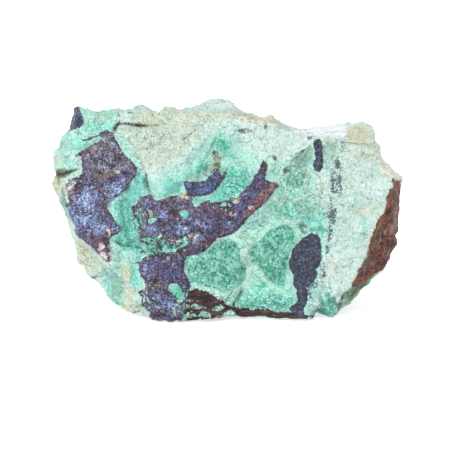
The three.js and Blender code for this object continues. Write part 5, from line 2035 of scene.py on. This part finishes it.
    def bark_colour(self, graph: Graph) -> Socket:
        """Builds the rusty side's colour: brown and dark streaks, an ember border, pale grains further out.

        Args:
            graph: the material's tree.

        Returns:
            The output that gives the colour.
        """
        streaks = graph.noise(0.9, 22, detail=4, rough=0.7, stretch=(0.7, 1, 2.0), turn=25)
        grains = graph.noise(0.5, 23, detail=2, rough=0.7)
        bright, kind, _ = graph.cells(0.36, 16)
        depth = graph.field("bark")
        coat = Coat(graph, self.bark_dark)
        coat.lay(self.bark, streaks.step(0.43, 0.51))
        coat.lay(self.bark_red, streaks.step(0.52, 0.6))
        coat.lay(graph.painted("crusting"), 0.3)
        coat.lay(self.ember, depth.step(1.5, 0.4, end=0.65) * graph.noise(1.6, 24).step(0.46, 0.62))
        outer = graph.noise(2.6, 27, detail=4, rough=0.65) * 6.0 + depth
        deep = depth.step(5.0, 3.0, 0.35, 1.0)
        coat.lay(self.bark_pale, outer.step(4.1, 5.7, end=0.9) * grains.step(0.36, 0.5) * deep)
        coat.shade(bright * 0.9 + 0.55)
        coat.lay(self.ember, (kind < 0.1) * 0.5)
        coat.lay(self.bark_dark, grains.step(0.42, 0.32, end=0.7))
        return coat.colour

    def seam_colour(self, graph: Graph) -> Socket:
        """Builds the brown seams' colour: dark plum brown in flat streaks, with thin pale ones.

        Args:
            graph: the material's tree.

        Returns:
            The output that gives the colour.
        """
        streaks = graph.noise(0.7, 28, detail=4, rough=0.7, stretch=(4, 2, 1), turn=6)
        coat = Coat(graph, self.bark_dark)
        coat.lay(self.seam, streaks.step(0.4, 0.6))
        coat.lay(self.bark_pale, streaks.step(0.6, 0.72))
        coat.shade(graph.cells(0.34, 19)[0] * 0.7 + 0.7)
        return coat.colour

    def grain(self, graph: Graph, dark: Number) -> Number:
        """Height of the grain: fine everywhere, coarser on crusts and gritty places."""
        coarse = graph.noise(1.0, 31, rough=0.65)
        return graph.noise(0.4, 30, rough=0.7) + coarse * (dark.highest(graph.field("gritty")) * 1.1 + 0.7)


# ---------------------------------------------------------------- the piece and the studio


@dataclass
class Boulder:
    """The stone itself: its fine surface in one closed mesh, and its finish.

    Attributes:
        form: the block's form and grid.
        paint: where the pigments and markings lie.
        relief: the fine relief.
        finish: the material's colours.
        node: the block's name in the frame.
    """

    form: BlockForm = BlockForm()
    paint: Paint = Paint()
    relief: FineRelief = FineRelief()
    finish: StoneFinish = StoneFinish()
    node: str = "boulder"

    def build(self) -> bpy.types.Object:
        """Makes the mesh: the block roughened, raised by its fine relief and stood up in the frame.

        Returns:
            The piece.
        """
        lattice, quads = self.form.grid()
        depth = lattice[:, 1]
        drawn = self.form.roughened(self.form.points(lattice), depth)
        fields = self.paint.markings(drawn, depth) | self.paint.tints(drawn, depth)
        colours = self.paint.colours(drawn, depth)
        height = self.relief.heights(drawn, depth, fields)
        facing = np.where((depth <= -1)[:, None], (0.0, 0.0, -1.0), self.form.outward(drawn))
        drawn = drawn + height[:, None] * facing
        return self.mesh(DRAWING.stand_up(drawn), quads, fields, colours)

    def mesh(
        self, places: Array, quads: Array, fields: dict[str, Array], colours: dict[str, Array]
    ) -> bpy.types.Object:
        """Makes a mesh object at the origin.

        Args:
            places: its corners in metres.
            quads: the four corner numbers of each face.
            fields: numbers laid on the corners, by name.
            colours: colours laid on the corners, by name.

        Returns:
            The object.
        """
        mesh = bpy.data.meshes.new(self.node + "_surface")
        mesh.from_pydata(places, [], quads)
        mesh.polygons.foreach_set("use_smooth", np.ones(len(quads), bool))
        for name, field in fields.items():
            attribute = mesh.attributes.new(name, "FLOAT", "POINT")
            attribute.data.foreach_set("value", field.astype(np.float32))
        for name, colour in colours.items():
            attribute = mesh.attributes.new(name, "FLOAT_COLOR", "POINT")
            opaque = np.column_stack([colour, np.ones(len(colour))])
            attribute.data.foreach_set("color", opaque.astype(np.float32).ravel())
        mesh.update()
        piece = bpy.data.objects.new(self.node + "_stone", mesh)
        bpy.context.collection.objects.link(piece)
        LOG.info("%s: %d vertices, %d triangles", piece.name, len(places), 2 * len(quads))
        return piece

    def dress(self, piece: bpy.types.Object) -> None:
        """Gives the piece its finish and ties it to the frame.

        Args:
            piece: the stone's mesh object.
        """
        piece.data.materials.append(self.finish.material())
        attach(piece, "root")
        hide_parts(self.node)


@dataclass(frozen=True)
class Studio:
    """A plain pale floor, soft light from the upper left, and the camera.

    Attributes:
        floor_size: width of the floor in metres.
        floor_tone: how pale the floor is, from 0 to 1.
        floor_roughness, floor_gloss: how dull its surface is.
        floor_glow: how strongly it glows, which keeps the shadow faint.
        sky: strength of the even light.
        sun_from: where the directed light comes from.
        sun_spread: how wide that light is in the sky, in degrees.
        sun_strength: its strength in watts per square metre.
        sensor: width of the camera's sensor in millimetres.
        field_width: width of what the camera sees at the stone, in millimetres.
        nearest: distance in metres from which the camera sees things.
    """

    floor_size: float = 12.0
    floor_tone: float = 0.6
    floor_roughness: float = 0.9
    floor_gloss: float = 0.1
    floor_glow: float = 0.62
    sky: float = 1.22
    sun_from: Triple = (-1.0, -1.5, 1.5)
    sun_spread: float = 30.0
    sun_strength: float = 2.2
    sensor: float = 36.0
    field_width: float = 112.5
    nearest: float = 0.01

    def build(self) -> None:
        """Makes the floor, the lights and the camera."""
        self.floor()
        self.world()
        self.key()
        self.camera()

    def floor(self) -> None:
        """A square floor at the stone's underside."""
        half = self.floor_size / 2
        corners = [(-half, -half, 0), (half, -half, 0), (half, half, 0), (-half, half, 0)]
        mesh = bpy.data.meshes.new("floor_surface")
        mesh.from_pydata(corners, [], [(0, 1, 2, 3)])
        material = bpy.data.materials.new("pale_floor")
        material.use_nodes = True
        shader = material.node_tree.nodes["Principled BSDF"]
        shader.inputs["Base Color"].default_value = (self.floor_tone, self.floor_tone, self.floor_tone, 1)
        shader.inputs["Roughness"].default_value = self.floor_roughness
        shader.inputs["Specular IOR Level"].default_value = self.floor_gloss
        shader.inputs["Emission Color"].default_value = (1, 1, 1, 1)
        shader.inputs["Emission Strength"].default_value = self.floor_glow
        mesh.materials.append(material)
        floor = bpy.data.objects.new("floor", mesh)
        bpy.context.collection.objects.link(floor)

    def world(self) -> None:
        """Even white light from all round, and colours shown as they are."""
        scene = bpy.context.scene
        scene.view_settings.view_transform = "Standard"
        world = bpy.data.worlds.new("studio")
        world.use_nodes = True
        background = world.node_tree.nodes["Background"]
        background.inputs["Color"].default_value = (1, 1, 1, 1)
        background.inputs["Strength"].default_value = self.sky
        scene.world = world

    def key(self) -> None:
        """The soft directed light, turned towards the stone."""
        light = bpy.data.lights.new("key", "SUN")
        light.angle = math.radians(self.sun_spread)
        light.energy = self.sun_strength
        lamp = bpy.data.objects.new("key", light)
        bpy.context.collection.objects.link(lamp)
        lamp.location = self.sun_from
        aim = -np.array(self.sun_from)
        turn = math.atan2(aim[1], aim[0]) - math.pi / 2
        tilt = math.pi / 2 + math.atan2(aim[2], math.hypot(aim[0], aim[1]))
        lamp.rotation_euler = (tilt, 0, turn)

    def camera(self) -> None:
        """The camera at the drawing's eye, looking along its line of sight."""
        lens = bpy.data.cameras.new("camera")
        lens.sensor_width = self.sensor
        lens.lens = self.sensor * DRAWING.eye_distance / self.field_width
        lens.clip_start = self.nearest
        camera = bpy.data.objects.new("camera", lens)
        bpy.context.collection.objects.link(camera)
        camera.location = DRAWING.eye()
        camera.rotation_euler = (math.pi / 2 - DRAWING.lean, 0, 0)
        bpy.context.scene.camera = camera


def main() -> None:
    """Builds the studio and the stone."""
    logging.basicConfig(level=logging.INFO, format="%(name)s: %(message)s")
    Studio().build()
    boulder = Boulder()
    boulder.dress(boulder.build())


if __name__ == "__main__":
    main()
